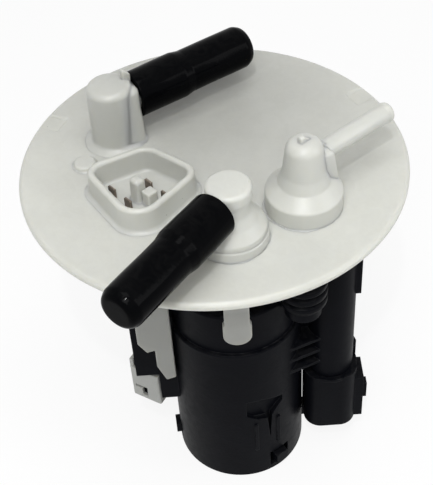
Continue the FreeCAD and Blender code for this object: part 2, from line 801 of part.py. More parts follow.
def lip_edge(place, turn, begin, outer):
    """A test for the outer edge of a cap's open end."""
    def test(edge):
        if not rod_edge(outer)(edge):
            return False
        angle = math.radians(value(turn))
        spot = edge.Curve.Center
        along = (spot.x - value(place["x"])) * math.cos(angle) + (spot.y - value(place["y"])) * math.sin(angle)
        return abs(along - value(begin)) < 1e-3
    return test


rubber_cap("rear_cap", INLET, "size.inlet_axis", "size.inlet_turn", "size.inlet_face", "size.inlet_barb")
rubber_cap("front_cap", OUTLET, "size.outlet_axis", "size.outlet_turn", "size.outlet_radius",
           "size.outlet_barb")

# Blades: flat contacts that stand in the shroud and pass through the flange.
for label, along, across in BLADES:
    blade = new_body(label)
    strip = sketch(blade, z=f"{TOP} + size.blade_up", **SHROUD)
    box(strip, f"{along} - size.blade_width / 2", f"{along} + size.blade_width / 2",
        f"{across} - size.blade_thick / 2", f"{across} + size.blade_thick / 2")
    pad(blade, strip, "size.blade_up + size.flange_thick + size.blade_down", downwards=True)

    def tip(edge, top=f"{TOP} + size.blade_up"):
        """The four edges round the upper end."""
        return all(abs(vertex.Z - value(top)) < 1e-4 for vertex in edge.Vertexes)

    edge_feature(blade, "Chamfer", "size.blade_tip", tip)

# Canister: a round shell open at the bottom, moulded with the regulator column, the web
# and fins between them, the hose shoulder, the lug and the side bracket.
canister = new_body("canister")
shell = sketch(canister, "XZ_Plane", **CAN)
polygon(shell, (
    ("0", "size.can_top"),
    (CAN_UPPER, "size.can_top"),
    (CAN_UPPER, "size.can_rim"),
    ("size.can_radius", "size.can_rim"),
    ("size.can_radius", "size.can_bottom"),
    (CAN_INNER, "size.can_bottom"),
    (CAN_INNER, ROOF_UNDER),
    ("0", ROOF_UNDER),
))
turned(canister, shell)
edge_feature(canister, "Fillet", "size.can_edge", ring_edge(CAN_UPPER, "size.can_top"))
edge_feature(canister, "Fillet", "size.can_rim_round", ring_edge("size.can_radius", "size.can_rim"))
collar = sketch(canister, "XZ_Plane", **CAN)
box(collar, "size.collar_radius", "size.collar_radius + size.collar_wall",
    f"{ROOF_UNDER} - size.collar_depth", f"{ROOF_UNDER} + size.can_roof / 2")
turned(canister, collar)
for place in (OUTLET, DUCT):
    socket = sketch(canister, "XZ_Plane", **place)
    box(socket, "0", "size.spigot_radius + size.spigot_clearance + size.socket_wall",
        "size.can_top - size.can_roof / 2", "size.can_top + size.socket_rise")
    turned(canister, socket)

# Regulator column, closed at the top and bored from below.
column = sketch(canister, "XZ_Plane", **COLUMN)
box(column, "0", "size.column_radius", "size.column_bottom", "size.column_top")
turned(canister, column)
edge_feature(canister, "Fillet", "size.can_edge", ring_edge("size.column_radius", "size.column_top"))

# Web and fins from the canister to the column.
bridge = sketch(canister, z="size.can_top")
box(bridge, f"size.can_x + {CAN_INNER}", "size.column_x",
    "size.column_y - size.web_thick / 2", "size.column_y + size.web_thick / 2")
pad(canister, bridge, "size.can_top - size.web_bottom", downwards=True)
fin = sketch(canister, z="size.web_bottom")
polygon(fin, (
    ("size.can_x + (size.can_radius - size.fin_bite) * cos(size.fin_can_turn)",
     "size.can_y + (size.can_radius - size.fin_bite) * sin(size.fin_can_turn)"),
    ("size.column_x + (size.column_radius - size.fin_bite) * cos(size.fin_column_turn)",
     "size.column_y + (size.column_radius - size.fin_bite) * sin(size.fin_column_turn)"),
    ("size.column_x", "size.column_y"),
    (f"size.can_x + {CAN_INNER} + size.fin_bite", "size.column_y"),
))
lowest = pad(canister, fin, "size.fin_thick")
fins = canister.newObject("PartDesign::LinearPattern", "canister_fins")
fins.Originals = [lowest]
fins.Direction = (fin, ["N_Axis"])
fins.setExpression("Length", "size.fin_pitch * (size.fin_count - 1)")
fins.setExpression("Occurrences", "size.fin_count")
canister.Tip = fins
doc.recompute()

# Shoulder that carries the corrugated hose, with its pipe.
shoulder = sketch(canister, "XZ_Plane", **HOSE)
polygon(shoulder, (
    ("0", "size.can_top - size.shoulder_depth"),
    ("size.shoulder_radius", "size.can_top - size.shoulder_depth + size.shoulder_radius / 2"),
    ("size.shoulder_radius", "size.can_top"),
    ("size.hose_pipe", "size.can_top"),
    ("size.hose_pipe", "size.can_top + size.hose_grip"),
    ("0", "size.can_top + size.hose_grip"),
))
turned(canister, shoulder)

# Lug beside the column's top: a plate that hangs from a short bridge.
lug = sketch(canister, z="size.column_top - size.can_edge")
box(lug, "size.column_x + size.lug_out - size.lug_thick", "size.column_x + size.lug_out",
    "size.column_y - size.lug_width / 2", "size.column_y + size.lug_width / 2")
pad(canister, lug, "size.column_top - size.can_edge - size.lug_bottom", downwards=True)
tie = sketch(canister, z="size.column_top - size.can_edge")
box(tie, "size.column_x", "size.column_x + size.lug_out - size.lug_thick / 2",
    "size.column_y - size.lug_width / 2", "size.column_y + size.lug_width / 2")
pad(canister, tie, "size.lug_bridge", downwards=True)

# Side bracket behind the snap arm, and the shelf that carries the plug.
bracket_y = "(size.arm_y + size.arm_thick / 2 + size.bracket_gap)"
bracket = sketch(canister, z="size.bracket_top")
box(bracket, "size.bracket_left", "size.bracket_right", bracket_y, f"{bracket_y} + size.bracket_thick")
pad(canister, bracket, "size.bracket_top - size.plug_top", downwards=True)
shelf = sketch(canister, z="size.plug_top + size.shelf_rise")
polygon(shelf, (
    ("size.shelf_corner", bracket_y),
    (f"size.can_x - {CAN_INNER} + size.can_wall / 2", bracket_y),
    (f"size.can_x - {CAN_INNER} + size.can_wall / 2", f"{bracket_y} + size.bracket_thick * 2"),
    ("size.shelf_left", f"{bracket_y} + size.bracket_thick * 2"),
    ("size.shelf_left", "size.shelf_slant"),
    ("size.shelf_corner", f"{bracket_y} + size.skirt_wall"),
))
pad(canister, shelf, "size.plug_top + size.shelf_rise - size.shelf_bottom", downwards=True)

# Bores: the column from below, the sockets, and the ports through the roof.
well = sketch(canister, "XZ_Plane", **COLUMN)
box(well, "0", "size.column_radius - size.column_wall", "size.column_bottom - 1",
    "size.column_bottom + size.bonnet_length + size.valve_travel + 2")
turned(canister, well, cut=True)
for place in (OUTLET, DUCT):
    seat = sketch(canister, "XZ_Plane", **place)
    box(seat, "0", "size.spigot_radius + size.spigot_clearance",
        f"{SPIGOT_END} - size.spigot_clearance", "size.can_top + size.socket_rise + 1")
    turned(canister, seat, cut=True)
    port = sketch(canister, "XZ_Plane", **place)
    box(port, "0", "size.spigot_bore", f"{ROOF_UNDER} - size.can_roof", "size.can_top")
    turned(canister, port, cut=True)

# Windows for the lid's catches, near the open bottom.
catch_low = "(size.can_bottom + size.catch_rise)"
CATCH_TURNS = ("size.catch_turn", "size.catch_turn - size.catch_spread")
cuts = []
for turn in CATCH_TURNS:
    window = sketch(canister, z=f"{catch_low} - size.catch_room", turn=turn, **CAN)
    box(window, f"{CAN_INNER} - 1", "size.can_radius + 1",
        "-size.catch_width / 2 - size.catch_room", "size.catch_width / 2 + size.catch_room")
    cuts.append(pocket(canister, window, "size.catch_height + size.catch_room * 2", upwards=True))
windows = canister.newObject("PartDesign::PolarPattern", "canister_windows")
windows.Originals = cuts
windows.Axis = (window, ["N_Axis"])
windows.Angle = 360.0
windows.Occurrences = 2
canister.Tip = windows
doc.recompute()

# Latch recess low on the front: a stepped window with a slot under it and two guide ribs.
latch_reach = "(size.can_radius - size.latch_depth)"
LATCH = {"plane": "XZ_Plane", "x": f"size.can_x + {latch_reach} * cos(size.latch_turn)",
         "y": f"size.can_y + {latch_reach} * sin(size.latch_turn)", "turn": "size.latch_turn + 90"}
for side in ("-size.latch_rib_place", "size.latch_rib_place"):
    rib = sketch(canister, **LATCH)
    box(rib, f"{side} - size.latch_rib / 2", f"{side} + size.latch_rib / 2",
        "size.latch_rib_end", "size.latch_low - size.latch_step")
    pad(canister, rib, "size.latch_depth + size.latch_rib_out")
latch = sketch(canister, **LATCH)
polygon(latch, (
    ("size.latch_left", "size.latch_top"),
    ("size.latch_middle", "size.latch_top"),
    ("size.latch_right", "size.latch_top - size.latch_step"),
    ("size.latch_right", "size.latch_top - size.latch_step * 2"),
    ("size.latch_slot * 2", "size.latch_low"),
    ("size.latch_slot", "size.latch_slot_end"),
    ("0", "size.latch_low - size.latch_slot"),
    ("size.latch_middle * 2", "size.latch_low"),
    ("size.latch_left", "size.latch_low + size.latch_step"),
))
pocket(canister, latch, "size.latch_depth + 1", upwards=True)

# Bottom lid: a plug disc whose snap catches stand in the windows, two and two opposite.
lid = new_body("canister_lid")
plate = sketch(lid, "XZ_Plane", **CAN)
box(plate, "0", f"{CAN_INNER} - size.lid_clearance", "size.can_bottom",
    "size.can_bottom + size.lid_thick")
turned(lid, plate)
wall = sketch(lid, "XZ_Plane", **CAN)
box(wall, f"{CAN_INNER} - size.lid_clearance - size.can_wall", f"{CAN_INNER} - size.lid_clearance",
    "size.can_bottom + size.lid_thick / 2", f"{catch_low} + size.catch_height")
turned(lid, wall)
hooks = []
for turn in CATCH_TURNS:
    catch = sketch(lid, z=catch_low, turn=turn, **CAN)
    box(catch, f"{CAN_INNER} - size.can_wall", "size.can_radius + size.catch_out",
        "-size.catch_width / 2", "size.catch_width / 2")
    hooks.append(pad(lid, catch, "size.catch_height"))
catches = lid.newObject("PartDesign::PolarPattern", "canister_lid_catches")
catches.Originals = hooks
catches.Axis = (catch, ["N_Axis"])
catches.Angle = 360.0
catches.Occurrences = 2
lid.Tip = catches
doc.recompute()

# Filter element: end caps, pleated media and a perforated core, with a ring seal round
# the upper cap's neck inside the roof's collar.
ELEMENT_TOP = f"({ROOF_UNDER} - size.collar_depth - size.element_cap)"
MEDIA_OUTER = f"({CAN_INNER} - size.element_gap)"
NECK = "(size.collar_radius - size.ring_section * 2)"
upper = new_body("element_cap_upper")
half = sketch(upper, "XZ_Plane", **CAN)
polygon(half, (
    ("size.element_inner - size.neck_wall", f"{ELEMENT_TOP} - size.element_cap"),
    (MEDIA_OUTER, f"{ELEMENT_TOP} - size.element_cap"),
    (MEDIA_OUTER, ELEMENT_TOP),
    (NECK, ELEMENT_TOP),
    (NECK, f"{ELEMENT_TOP} + size.collar_depth"),
    (f"{NECK} - size.neck_wall", f"{ELEMENT_TOP} + size.collar_depth"),
    (f"{NECK} - size.neck_wall", ELEMENT_TOP),
    ("size.element_inner - size.neck_wall", ELEMENT_TOP),
))
turned(upper, half)
lower = new_body("element_cap_lower")
half = sketch(lower, "XZ_Plane", **CAN)
box(half, "0", MEDIA_OUTER, "size.element_bottom", "size.element_bottom + size.element_cap")
turned(lower, half)
ring = doc.addObject("Part::Torus", "element_ring")
ring.setExpression("Radius1", f"{NECK} + size.ring_section")
ring.setExpression("Radius2", "size.ring_section - size.seal_clearance")
ring.setExpression("Placement.Base.x", "size.can_x")
ring.setExpression("Placement.Base.y", "size.can_y")
ring.setExpression("Placement.Base.z", f"{ELEMENT_TOP} + size.collar_depth / 2 + size.element_cap / 2")


def pleats():
    """The media: a zigzag band of one radial width, raised between the caps."""
    count = int(value("size.pleat_count"))
    outer = value(f"{MEDIA_OUTER} - size.pleat_inset")
    inner = value("size.element_inner + size.media_band")
    band = value("size.media_band")
    low = value("size.element_bottom + size.element_cap")
    tall = value(f"{ELEMENT_TOP} - size.element_cap") - low
    bands = []
    for shrink in (0.0, band):
        points = []
        for index in range(2 * count):
            radius = (outer if index % 2 == 0 else inner) - shrink
            angle = math.pi * index / count
            points.append(V(radius * math.cos(angle), radius * math.sin(angle), low))
        bands.append(Part.makePolygon(points + points[:1]))
    return Part.makeFace(bands, "Part::FaceMakerBullseye").extrude(V(0, 0, tall))


media = doc.addObject("Part::Feature", "filter_media")
media.Shape = pleats()
media.setExpression("Placement.Base.x", "size.can_x")
media.setExpression("Placement.Base.y", "size.can_y")

core = new_body("core_tube")
half = sketch(core, "XZ_Plane", **CAN)
box(half, "size.core_radius - size.core_wall", "size.core_radius",
    "size.element_bottom + size.element_cap", f"{ELEMENT_TOP} - size.element_cap")
turned(core, half)
core_low = "(size.element_bottom + size.element_cap)"
core_tall = f"({ELEMENT_TOP} - size.element_cap - {core_low})"
hole = sketch(core, "XZ_Plane", z=f"{core_low} + {core_tall} / (2 * size.core_rows)", **CAN)
circle(hole, "0", "0", "size.core_hole")
first_hole = pocket(core, hole, "size.core_radius + 1")
spread = core.newObject("PartDesign::MultiTransform", "core_tube_holes")
rows = core.newObject("PartDesign::LinearPattern", "core_tube_rows")
columns = core.newObject("PartDesign::PolarPattern", "core_tube_columns")
rows.Direction = (hole, ["V_Axis"])
rows.setExpression("Length", f"{core_tall} * (size.core_rows - 1) / size.core_rows")
rows.setExpression("Occurrences", "size.core_rows")
columns.Axis = (hole, ["V_Axis"])
columns.Angle = 360.0
columns.setExpression("Occurrences", "size.core_columns")
spread.Originals = [first_hole]
spread.Transformations = [rows, columns]
core.Tip = spread
doc.recompute()

# Corrugated hose between the flange's pipe and the canister's shoulder.
hose = new_body("corrugated_hose")
hose_tall = "(-size.can_top)"
pitch = f"(({hose_tall} - size.hose_wall * 2) / size.hose_ribs)"
outside = []
inside = []
for rib in range(int(value("size.hose_ribs"))):
    base = f"(size.can_top + size.hose_wall + {pitch} * {rib})"
    for share, radius in (("0", "size.hose_valley"), ("size.hose_valley_share", "size.hose_valley"),
                          ("size.hose_flank_share", "size.hose_crest"),
                          ("size.hose_crest_share", "size.hose_crest")):
        outside.append((radius, f"{base} + {pitch} * {share}"))
        inside.append((f"{radius} - size.hose_wall", f"{base} + {pitch} * {share}"))
half = sketch(hose, "XZ_Plane", **HOSE)
grip = "(size.hose_pipe + size.hose_clearance)"
polygon(half, [
    (grip, "size.can_top"),
    ("size.hose_valley", "size.can_top"),
    *outside,
    ("size.hose_valley", "-size.hose_wall"),
    ("size.hose_valley", "size.seal_relief"),
    (grip, "size.seal_relief"),
    (grip, "-size.hose_wall"),
    *inside[::-1],
    (grip, "size.can_top + size.hose_wall"),
])
turned(hose, half)

# Retainer: the cup under the column that holds the regulator, with bevelled lower
# corners, a skirt up the back of the column and an ear with a nub on its right.
retainer = new_body("regulator_retainer")
RETAINER_END = "(size.column_bottom - size.retainer_length)"
plan = sketch(retainer, z="size.column_bottom", **COLUMN)
box(plan, "-size.retainer_width / 2", "size.retainer_width / 2",
    "-size.retainer_depth / 2", "size.retainer_depth / 2")
pad(retainer, plan, "size.retainer_length", downwards=True)
edge_feature(retainer, "Fillet", "size.retainer_corner",
             upright_edges(RETAINER_END, "size.column_bottom", "size.column_x", "size.column_y",
                           "size.retainer_width"))
edge_feature(retainer, "Chamfer", "size.retainer_chamfer",
             lambda edge: all(abs(vertex.Z - value(RETAINER_END)) < 1e-4 for vertex in edge.Vertexes))
skirt = sketch(retainer, "XZ_Plane", **COLUMN)
box(skirt, "size.column_radius + size.skirt_clearance",
    "size.column_radius + size.skirt_clearance + size.skirt_wall",
    "size.column_bottom - size.skirt_wall", "size.column_bottom + size.skirt_rise")
turned(retainer, skirt)
front = sketch(retainer, z="size.column_bottom", **COLUMN)
box(front, "-size.retainer_width", "size.retainer_width", "-size.retainer_width",
    "size.web_thick / 2 + size.skirt_clearance")
pocket(retainer, front, "size.skirt_rise + 1", upwards=True)
for out, low, high, width in (
        ("size.ear_out", "size.ear_bottom", "size.ear_top", "size.ear_width"),
        ("size.ear_out + size.nub_out", "size.nub_bottom", "size.nub_top", "size.ear_width / 3")):
    ear = sketch(retainer, z=low, **COLUMN)
    box(ear, "0", f"size.retainer_width / 2 + {out}", f"-{width} / 2", f"{width} / 2")
    pad(retainer, ear, f"{high} - ({low})")
cavity = sketch(retainer, "XZ_Plane", **COLUMN)
polygon(cavity, (
    ("0", f"{RETAINER_END} - 1"),
    ("size.base_neck + size.skirt_clearance", f"{RETAINER_END} - 1"),
    ("size.base_neck + size.skirt_clearance", f"{RETAINER_END} + size.retainer_floor"),
    ("size.retainer_bore", f"{RETAINER_END} + size.retainer_floor"),
    ("size.retainer_bore", "size.column_bottom + size.skirt_rise + 1"),
    ("0", "size.column_bottom + size.skirt_rise + 1"),
))
turned(retainer, cavity, cut=True)

# Pressure regulator: a bonnet with its spring, a clamped diaphragm with the valve, and a
# base with the seat. The crimped rims lie just under the column's end.
CRIMP_TOP = "(size.column_bottom)"
DIAPHRAGM_TOP = f"({CRIMP_TOP} - size.crimp_thick)"
BASE_TOP = f"({DIAPHRAGM_TOP} - size.diaphragm_thick)"
BONNET_INNER = "(size.bonnet_radius - size.bonnet_wall)"
bonnet = new_body("regulator_bonnet")
half = sketch(bonnet, "XZ_Plane", **COLUMN)
polygon(half, (
    (BONNET_INNER, DIAPHRAGM_TOP),
    ("size.crimp_radius", DIAPHRAGM_TOP),
    ("size.crimp_radius", CRIMP_TOP),
    ("size.bonnet_radius", CRIMP_TOP),
    ("size.bonnet_radius", f"{CRIMP_TOP} + size.bonnet_length"),
    ("0", f"{CRIMP_TOP} + size.bonnet_length"),
    ("0", f"{CRIMP_TOP} + size.bonnet_length - size.bonnet_wall"),
    (BONNET_INNER, f"{CRIMP_TOP} + size.bonnet_length - size.bonnet_wall"),
))
turned(bonnet, half)
edge_feature(bonnet, "Fillet", "size.bonnet_edge",
             ring_edge("size.bonnet_radius", f"{CRIMP_TOP} + size.bonnet_length"))
diaphragm = doc.addObject("Part::Cut", "regulator_diaphragm")
disc = doc.addObject("Part::Cylinder", "diaphragm_disc")
disc.setExpression("Radius", "size.crimp_radius")
disc.setExpression("Height", "size.diaphragm_thick")
eye = doc.addObject("Part::Cylinder", "diaphragm_eye")
eye.setExpression("Radius", "size.valve_radius + size.valve_clearance")
eye.setExpression("Height", "size.diaphragm_thick")
diaphragm.Base = disc
diaphragm.Tool = eye
for axis, expression in zip("xyz", ("size.column_x", "size.column_y", BASE_TOP)):
    diaphragm.setExpression(f"Placement.Base.{axis}", expression)
base = new_body("regulator_base")
half = sketch(base, "XZ_Plane", **COLUMN)
polygon(half, (
    ("size.seat_bore", f"{BASE_TOP} - size.base_length - size.base_neck_length"),
    ("size.base_neck", f"{BASE_TOP} - size.base_length - size.base_neck_length"),
    ("size.base_neck", f"{BASE_TOP} - size.base_length"),
    ("size.base_radius", f"{BASE_TOP} - size.base_length"),
    ("size.base_radius", f"{BASE_TOP} - size.crimp_thick"),
    ("size.crimp_radius", f"{BASE_TOP} - size.crimp_thick"),
    ("size.crimp_radius", BASE_TOP),
    ("size.valve_radius + size.valve_clearance", BASE_TOP),
    ("size.valve_radius + size.valve_clearance", f"{BASE_TOP} - size.valve_thick / 2"),
    ("size.seat_bore", f"{BASE_TOP} - size.valve_thick / 2"),
))
turned(base, half)
valve = doc.addObject("Part::Cylinder", "regulator_valve")
valve.setExpression("Radius", "size.valve_radius")
valve.setExpression("Height", "size.valve_thick")
valve_low = f"{BASE_TOP} - size.valve_thick / 2"
for axis, expression in zip("xyz", ("size.column_x", "size.column_y", valve_low)):
    valve.setExpression(f"Placement.Base.{axis}", expression)

# Spring: it stands on the valve's plate and bears on the bonnet's roof.
SPRING_LOW = f"({valve_low} + size.valve_thick + size.spring_wire)"
SPRING_HIGH = f"({CRIMP_TOP} + size.bonnet_length - size.bonnet_wall - size.spring_wire)"
coil = doc.addObject("Part::Helix", "spring_path")
coil.setExpression("Radius", "size.spring_radius")
coil.setExpression("Height", f"{SPRING_HIGH} - {SPRING_LOW}")
coil.setExpression("Pitch", f"({SPRING_HIGH} - {SPRING_LOW}) / size.spring_turns")
wire = doc.addObject("Part::Circle", "spring_section")
wire.setExpression("Radius", "size.spring_wire")
wire.Placement = FreeCAD.Placement(V(0, 0, 0), FreeCAD.Rotation(V(1, 0, 0), 90))
wire.setExpression("Placement.Base.x", "size.spring_radius")
spring = doc.addObject("Part::Sweep", "regulator_spring")
spring.Sections = [wire]
doc.recompute()
spring.Spine = (coil, [f"Edge{number + 1}" for number in range(len(coil.Shape.Edges))])
spring.Solid = True
spring.Frenet = True
for axis, expression in zip("xyz", ("size.column_x", "size.column_y", SPRING_LOW)):
    spring.setExpression(f"Placement.Base.{axis}", expression)
seal = doc.addObject("Part::Torus", "regulator_seal")
seal.setExpression("Radius1", "size.base_radius + size.seal_section")
seal.setExpression("Radius2", "size.seal_section - size.seal_clearance / 2")
for axis, expression in zip("xyz", ("size.column_x", "size.column_y",
                                    f"{BASE_TOP} - size.base_length / 2")):
    seal.setExpression(f"Placement.Base.{axis}", expression)

# Side plug on the shelf, and the white cover that slips over it from below.
PLUG = {"x": "size.plug_x", "y": "size.plug_y", "turn": "size.plug_turn"}
COVER_TOP = "(size.plug_top - size.plug_rise)"
plug = new_body("side_plug")
core_block = sketch(plug, z="size.plug_top", **PLUG)
box(core_block, "-size.plug_width / 2", "size.plug_width / 2", "-size.plug_depth / 2", "size.plug_depth / 2")
pad(plug, core_block, "size.plug_rise + size.cover_height - size.cover_floor", downwards=True)
ridge = sketch(plug, z="size.plug_top", **PLUG)
box(ridge, "-size.plug_width / 4", "size.plug_width / 2",
    "-size.plug_depth / 2 - size.plug_ridge", "size.plug_depth / 2")
pad(plug, ridge, "size.plug_rise - size.plug_ridge", downwards=True)
cover = new_body("plug_cover")
case = sketch(cover, z=COVER_TOP, **PLUG)
box(case, "-size.plug_width / 2 - size.cover_wall", "size.plug_width / 2 + size.cover_wall",
    "-size.plug_depth / 2 - size.cover_wall", "size.plug_depth / 2 + size.cover_wall")
pad(cover, case, "size.cover_height", downwards=True)
edge_feature(cover, "Fillet", "size.cover_edge",
             lambda edge: max(vertex.Z for vertex in edge.Vertexes) < value(COVER_TOP) - 1
             or abs(edge.Vertexes[0].Z - edge.Vertexes[-1].Z) > 1)
hollow = sketch(cover, z=COVER_TOP, **PLUG)
box(hollow, "-size.plug_width / 2", "size.plug_width / 2", "-size.plug_depth / 2", "size.plug_depth / 2")
pocket(cover, hollow, "size.cover_height - size.cover_floor")
ear = sketch(cover, z=COVER_TOP, **PLUG)
box(ear, "-size.plug_width / 2 - size.cover_wall", "-size.plug_width / 2",
    "-size.plug_depth / 2 - size.cover_wall / 2", "size.plug_depth / 2 + size.cover_wall / 2")
pad(cover, ear, "size.cover_ear")
window = sketch(cover, "XZ_Plane", **PLUG)
polygon(window, (
    ("size.window_left", "size.window_top"),
    ("size.window_left + size.window_width", "size.window_top"),
    ("size.window_left + size.window_width", "size.window_top - size.window_height"),
    ("size.window_left + size.window_width - size.window_bar", "size.window_top - size.window_height"),
    ("size.window_left + size.window_width - size.window_bar", "size.window_top - size.window_stroke"),
    ("size.window_left", "size.window_top - size.window_stroke"),
))
pocket(cover, window, "size.plug_depth / 2 + size.cover_wall + 1", upwards=True)

# Every piece is sound before anything is written.
doc.recompute()
NODES = (
    "flange", "outlet_tower", "vent_tower", "rear_cap", "front_cap",
    "terminal_a", "terminal_b", "terminal_c", "terminal_d",
    "canister", "canister_lid", "element_cap_upper", "element_cap_lower", "element_ring",
    "filter_media", "core_tube", "corrugated_hose", "regulator_retainer",
    "regulator_bonnet", "regulator_diaphragm", "regulator_base", "regulator_valve",
    "regulator_spring", "regulator_seal", "side_plug", "plug_cover",
)
for item in doc.Objects:
    if {"Invalid", "Error"} & set(item.State):
        raise RuntimeError(f"{item.Label} is not sound: {item.State}")
pieces = [doc.getObjectsByLabel(label)[0] for label in NODES]
for piece in pieces:
    if piece.Shape.isNull() or not piece.Shape.isValid() or len(piece.Shape.Solids) != 1:
        raise RuntimeError(f"{piece.Label} is not one valid solid")
for piece in pieces:
    piece.Shape.exportStep(os.path.join("parts", piece.Label + ".step"))
    print(piece.Label, round(piece.Shape.Volume, 2))
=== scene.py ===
import math

import bmesh
import bpy
import numpy as np
from mathutils import Matrix, Vector


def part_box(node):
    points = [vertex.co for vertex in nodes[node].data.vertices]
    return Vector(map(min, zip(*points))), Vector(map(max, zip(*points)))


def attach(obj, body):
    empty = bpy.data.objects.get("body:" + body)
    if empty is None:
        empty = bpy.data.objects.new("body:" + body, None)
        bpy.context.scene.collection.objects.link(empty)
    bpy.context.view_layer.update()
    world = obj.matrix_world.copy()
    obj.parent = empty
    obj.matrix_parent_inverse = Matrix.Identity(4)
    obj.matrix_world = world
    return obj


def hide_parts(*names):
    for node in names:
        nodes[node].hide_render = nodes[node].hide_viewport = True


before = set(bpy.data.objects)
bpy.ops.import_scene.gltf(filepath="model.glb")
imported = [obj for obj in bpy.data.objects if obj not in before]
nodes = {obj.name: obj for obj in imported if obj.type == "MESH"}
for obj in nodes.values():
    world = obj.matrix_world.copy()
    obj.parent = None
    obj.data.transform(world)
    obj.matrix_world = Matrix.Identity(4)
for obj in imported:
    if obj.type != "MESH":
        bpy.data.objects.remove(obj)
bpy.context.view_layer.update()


# ---------------------------------------------------------------------------
# The studio. A pale floor carries the filter on the canister's foot, a broad softbox
# hangs above the flange, smaller ones stand in front and to the right, and a very small
# one gives sharp glints. The camera looks down on the flange at 45 degrees.

MM = 0.001


def place(tree, kind, sockets=None, **settings):
    """A shader node of a kind. A socket takes a value, or a link from another node's output."""
    made = tree.nodes.new("ShaderNode" + kind)
    for name, setting in settings.items():
        setattr(made, name, setting)
    for socket, given in (sockets or {}).items():
        if isinstance(given, bpy.types.NodeSocket):
            tree.links.new(given, made.inputs[socket])
        else:
            made.inputs[socket].default_value = given
    return made


def white_to_rays(tree, seen, lit, share):
    """A share of plain white where the camera, a mirror or glass looks, and what is lit elsewhere."""
    rays = place(tree, "LightPath")
    looks = place(tree, "Math", {0: rays.outputs["Is Camera Ray"], 1: rays.outputs["Is Glossy Ray"]},
                  operation="MAXIMUM")
    looks = place(tree, "Math", {0: looks.outputs[0], 1: rays.outputs["Is Transmission Ray"]},
                  operation="MAXIMUM")
    part = place(tree, "Math", {0: looks.outputs[0], 1: share}, operation="MULTIPLY")
    return place(tree, "MixShader", {0: part.outputs[0], 1: lit.outputs[0], 2: seen.outputs[0]})


FLOOR_REACH = 3.0
FLOOR_GAP = 0.2 * MM
FLOOR_WHITE_SHARE = 0.86
floor_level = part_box("canister")[0].z - FLOOR_GAP
floor_mesh = bpy.data.meshes.new("studio_floor")
floor_mesh.from_pydata([(-FLOOR_REACH, -FLOOR_REACH, floor_level), (FLOOR_REACH, -FLOOR_REACH, floor_level),
                        (FLOOR_REACH, FLOOR_REACH, floor_level), (-FLOOR_REACH, FLOOR_REACH, floor_level)],
                       [], [(0, 1, 2, 3)])
studio_floor = bpy.data.objects.new("studio_floor", floor_mesh)
bpy.context.collection.objects.link(studio_floor)
floor_paint = bpy.data.materials.new("pale_floor")
floor_paint.use_nodes = True
tree = floor_paint.node_tree
tree.nodes.clear()
matt = place(tree, "BsdfDiffuse", {"Color": (0.88, 0.88, 0.88, 1)})
glow = place(tree, "Emission", {"Color": (1, 1, 1, 1)})
place(tree, "OutputMaterial", {"Surface": white_to_rays(tree, glow, matt, FLOOR_WHITE_SHARE).outputs[0]})
floor_mesh.materials.append(floor_paint)

world = bpy.data.worlds.new("studio")
world.use_nodes = True
bpy.context.scene.world = world
tree = world.node_tree
tree.nodes.clear()
room = place(tree, "Background", {"Color": (0.98, 0.99, 1.0, 1), "Strength": 0.34})
backdrop = place(tree, "Background", {"Color": (1, 1, 1, 1), "Strength": 1.0})
place(tree, "OutputWorld", {"Surface": white_to_rays(tree, backdrop, room, 1.0).outputs[0]})


def softbox(name, stand, aim, width, height, watts):
    """A rectangular lamp that stands at one point and faces another."""
    lamp = bpy.data.lights.new(name, "AREA")
    lamp.shape = "RECTANGLE"
    lamp.size, lamp.size_y = width, height
    lamp.energy = watts
    holder = bpy.data.objects.new(name, lamp)
    holder.location = stand
    holder.rotation_mode = "QUATERNION"
    holder.rotation_quaternion = (Vector(aim) - Vector(stand)).to_track_quat("-Z", "Y")
    bpy.context.collection.objects.link(holder)


softbox("overhead", (0.02, -0.10, 0.9), (0, -0.02, 0), 0.6, 0.45, 3.5)
softbox("front", (-0.10, -0.62, 0.68), (0, 0, 0), 0.45, 0.3, 3.0)
softbox("right", (0.75, -0.25, 0.35), (0, 0, 0), 0.25, 0.5, 1.2)
softbox("glint", (-0.03, -0.36, 0.60), (0, -0.03, 0), 0.02, 0.02, 1.2)

camera = bpy.data.objects.new("camera", bpy.data.cameras.new("camera"))
bpy.context.collection.objects.link(camera)
camera.data.lens = 81.575
camera.data.sensor_width = 36.0
camera.data.clip_start = 0.01
level_right = Vector((0.99758524, -0.04753711, -0.05063509))
upward = Vector((0.06941953, 0.70502979, 0.70577187))
away = Vector((-0.00214889, 0.70758266, -0.70662731))
camera.matrix_world = (Matrix.Translation((0, -0.257549, 0.223625))
                       @ Matrix((level_right, upward, -away)).transposed().to_4x4())
bpy.context.scene.camera = camera
bpy.context.scene.view_settings.view_transform = "Standard"


# ---------------------------------------------------------------------------
# Finishes. Every plastic is moulded: it has clouds of flow, a fine grain from the tool,
# edges that are slightly rubbed, and a few specks. One group gives these, and each
# material sets its own values.

SMEAR_SIZE = 260.0
SPECK_SIZE = 210.0
SPECKED_CELLS = 0.93
EDGE_MEETS = (0.995, 0.86)
DUST_COLOUR = (0.42, 0.41, 0.38, 1)
SPECK_COLOUR = (0.10, 0.09, 0.07, 1)


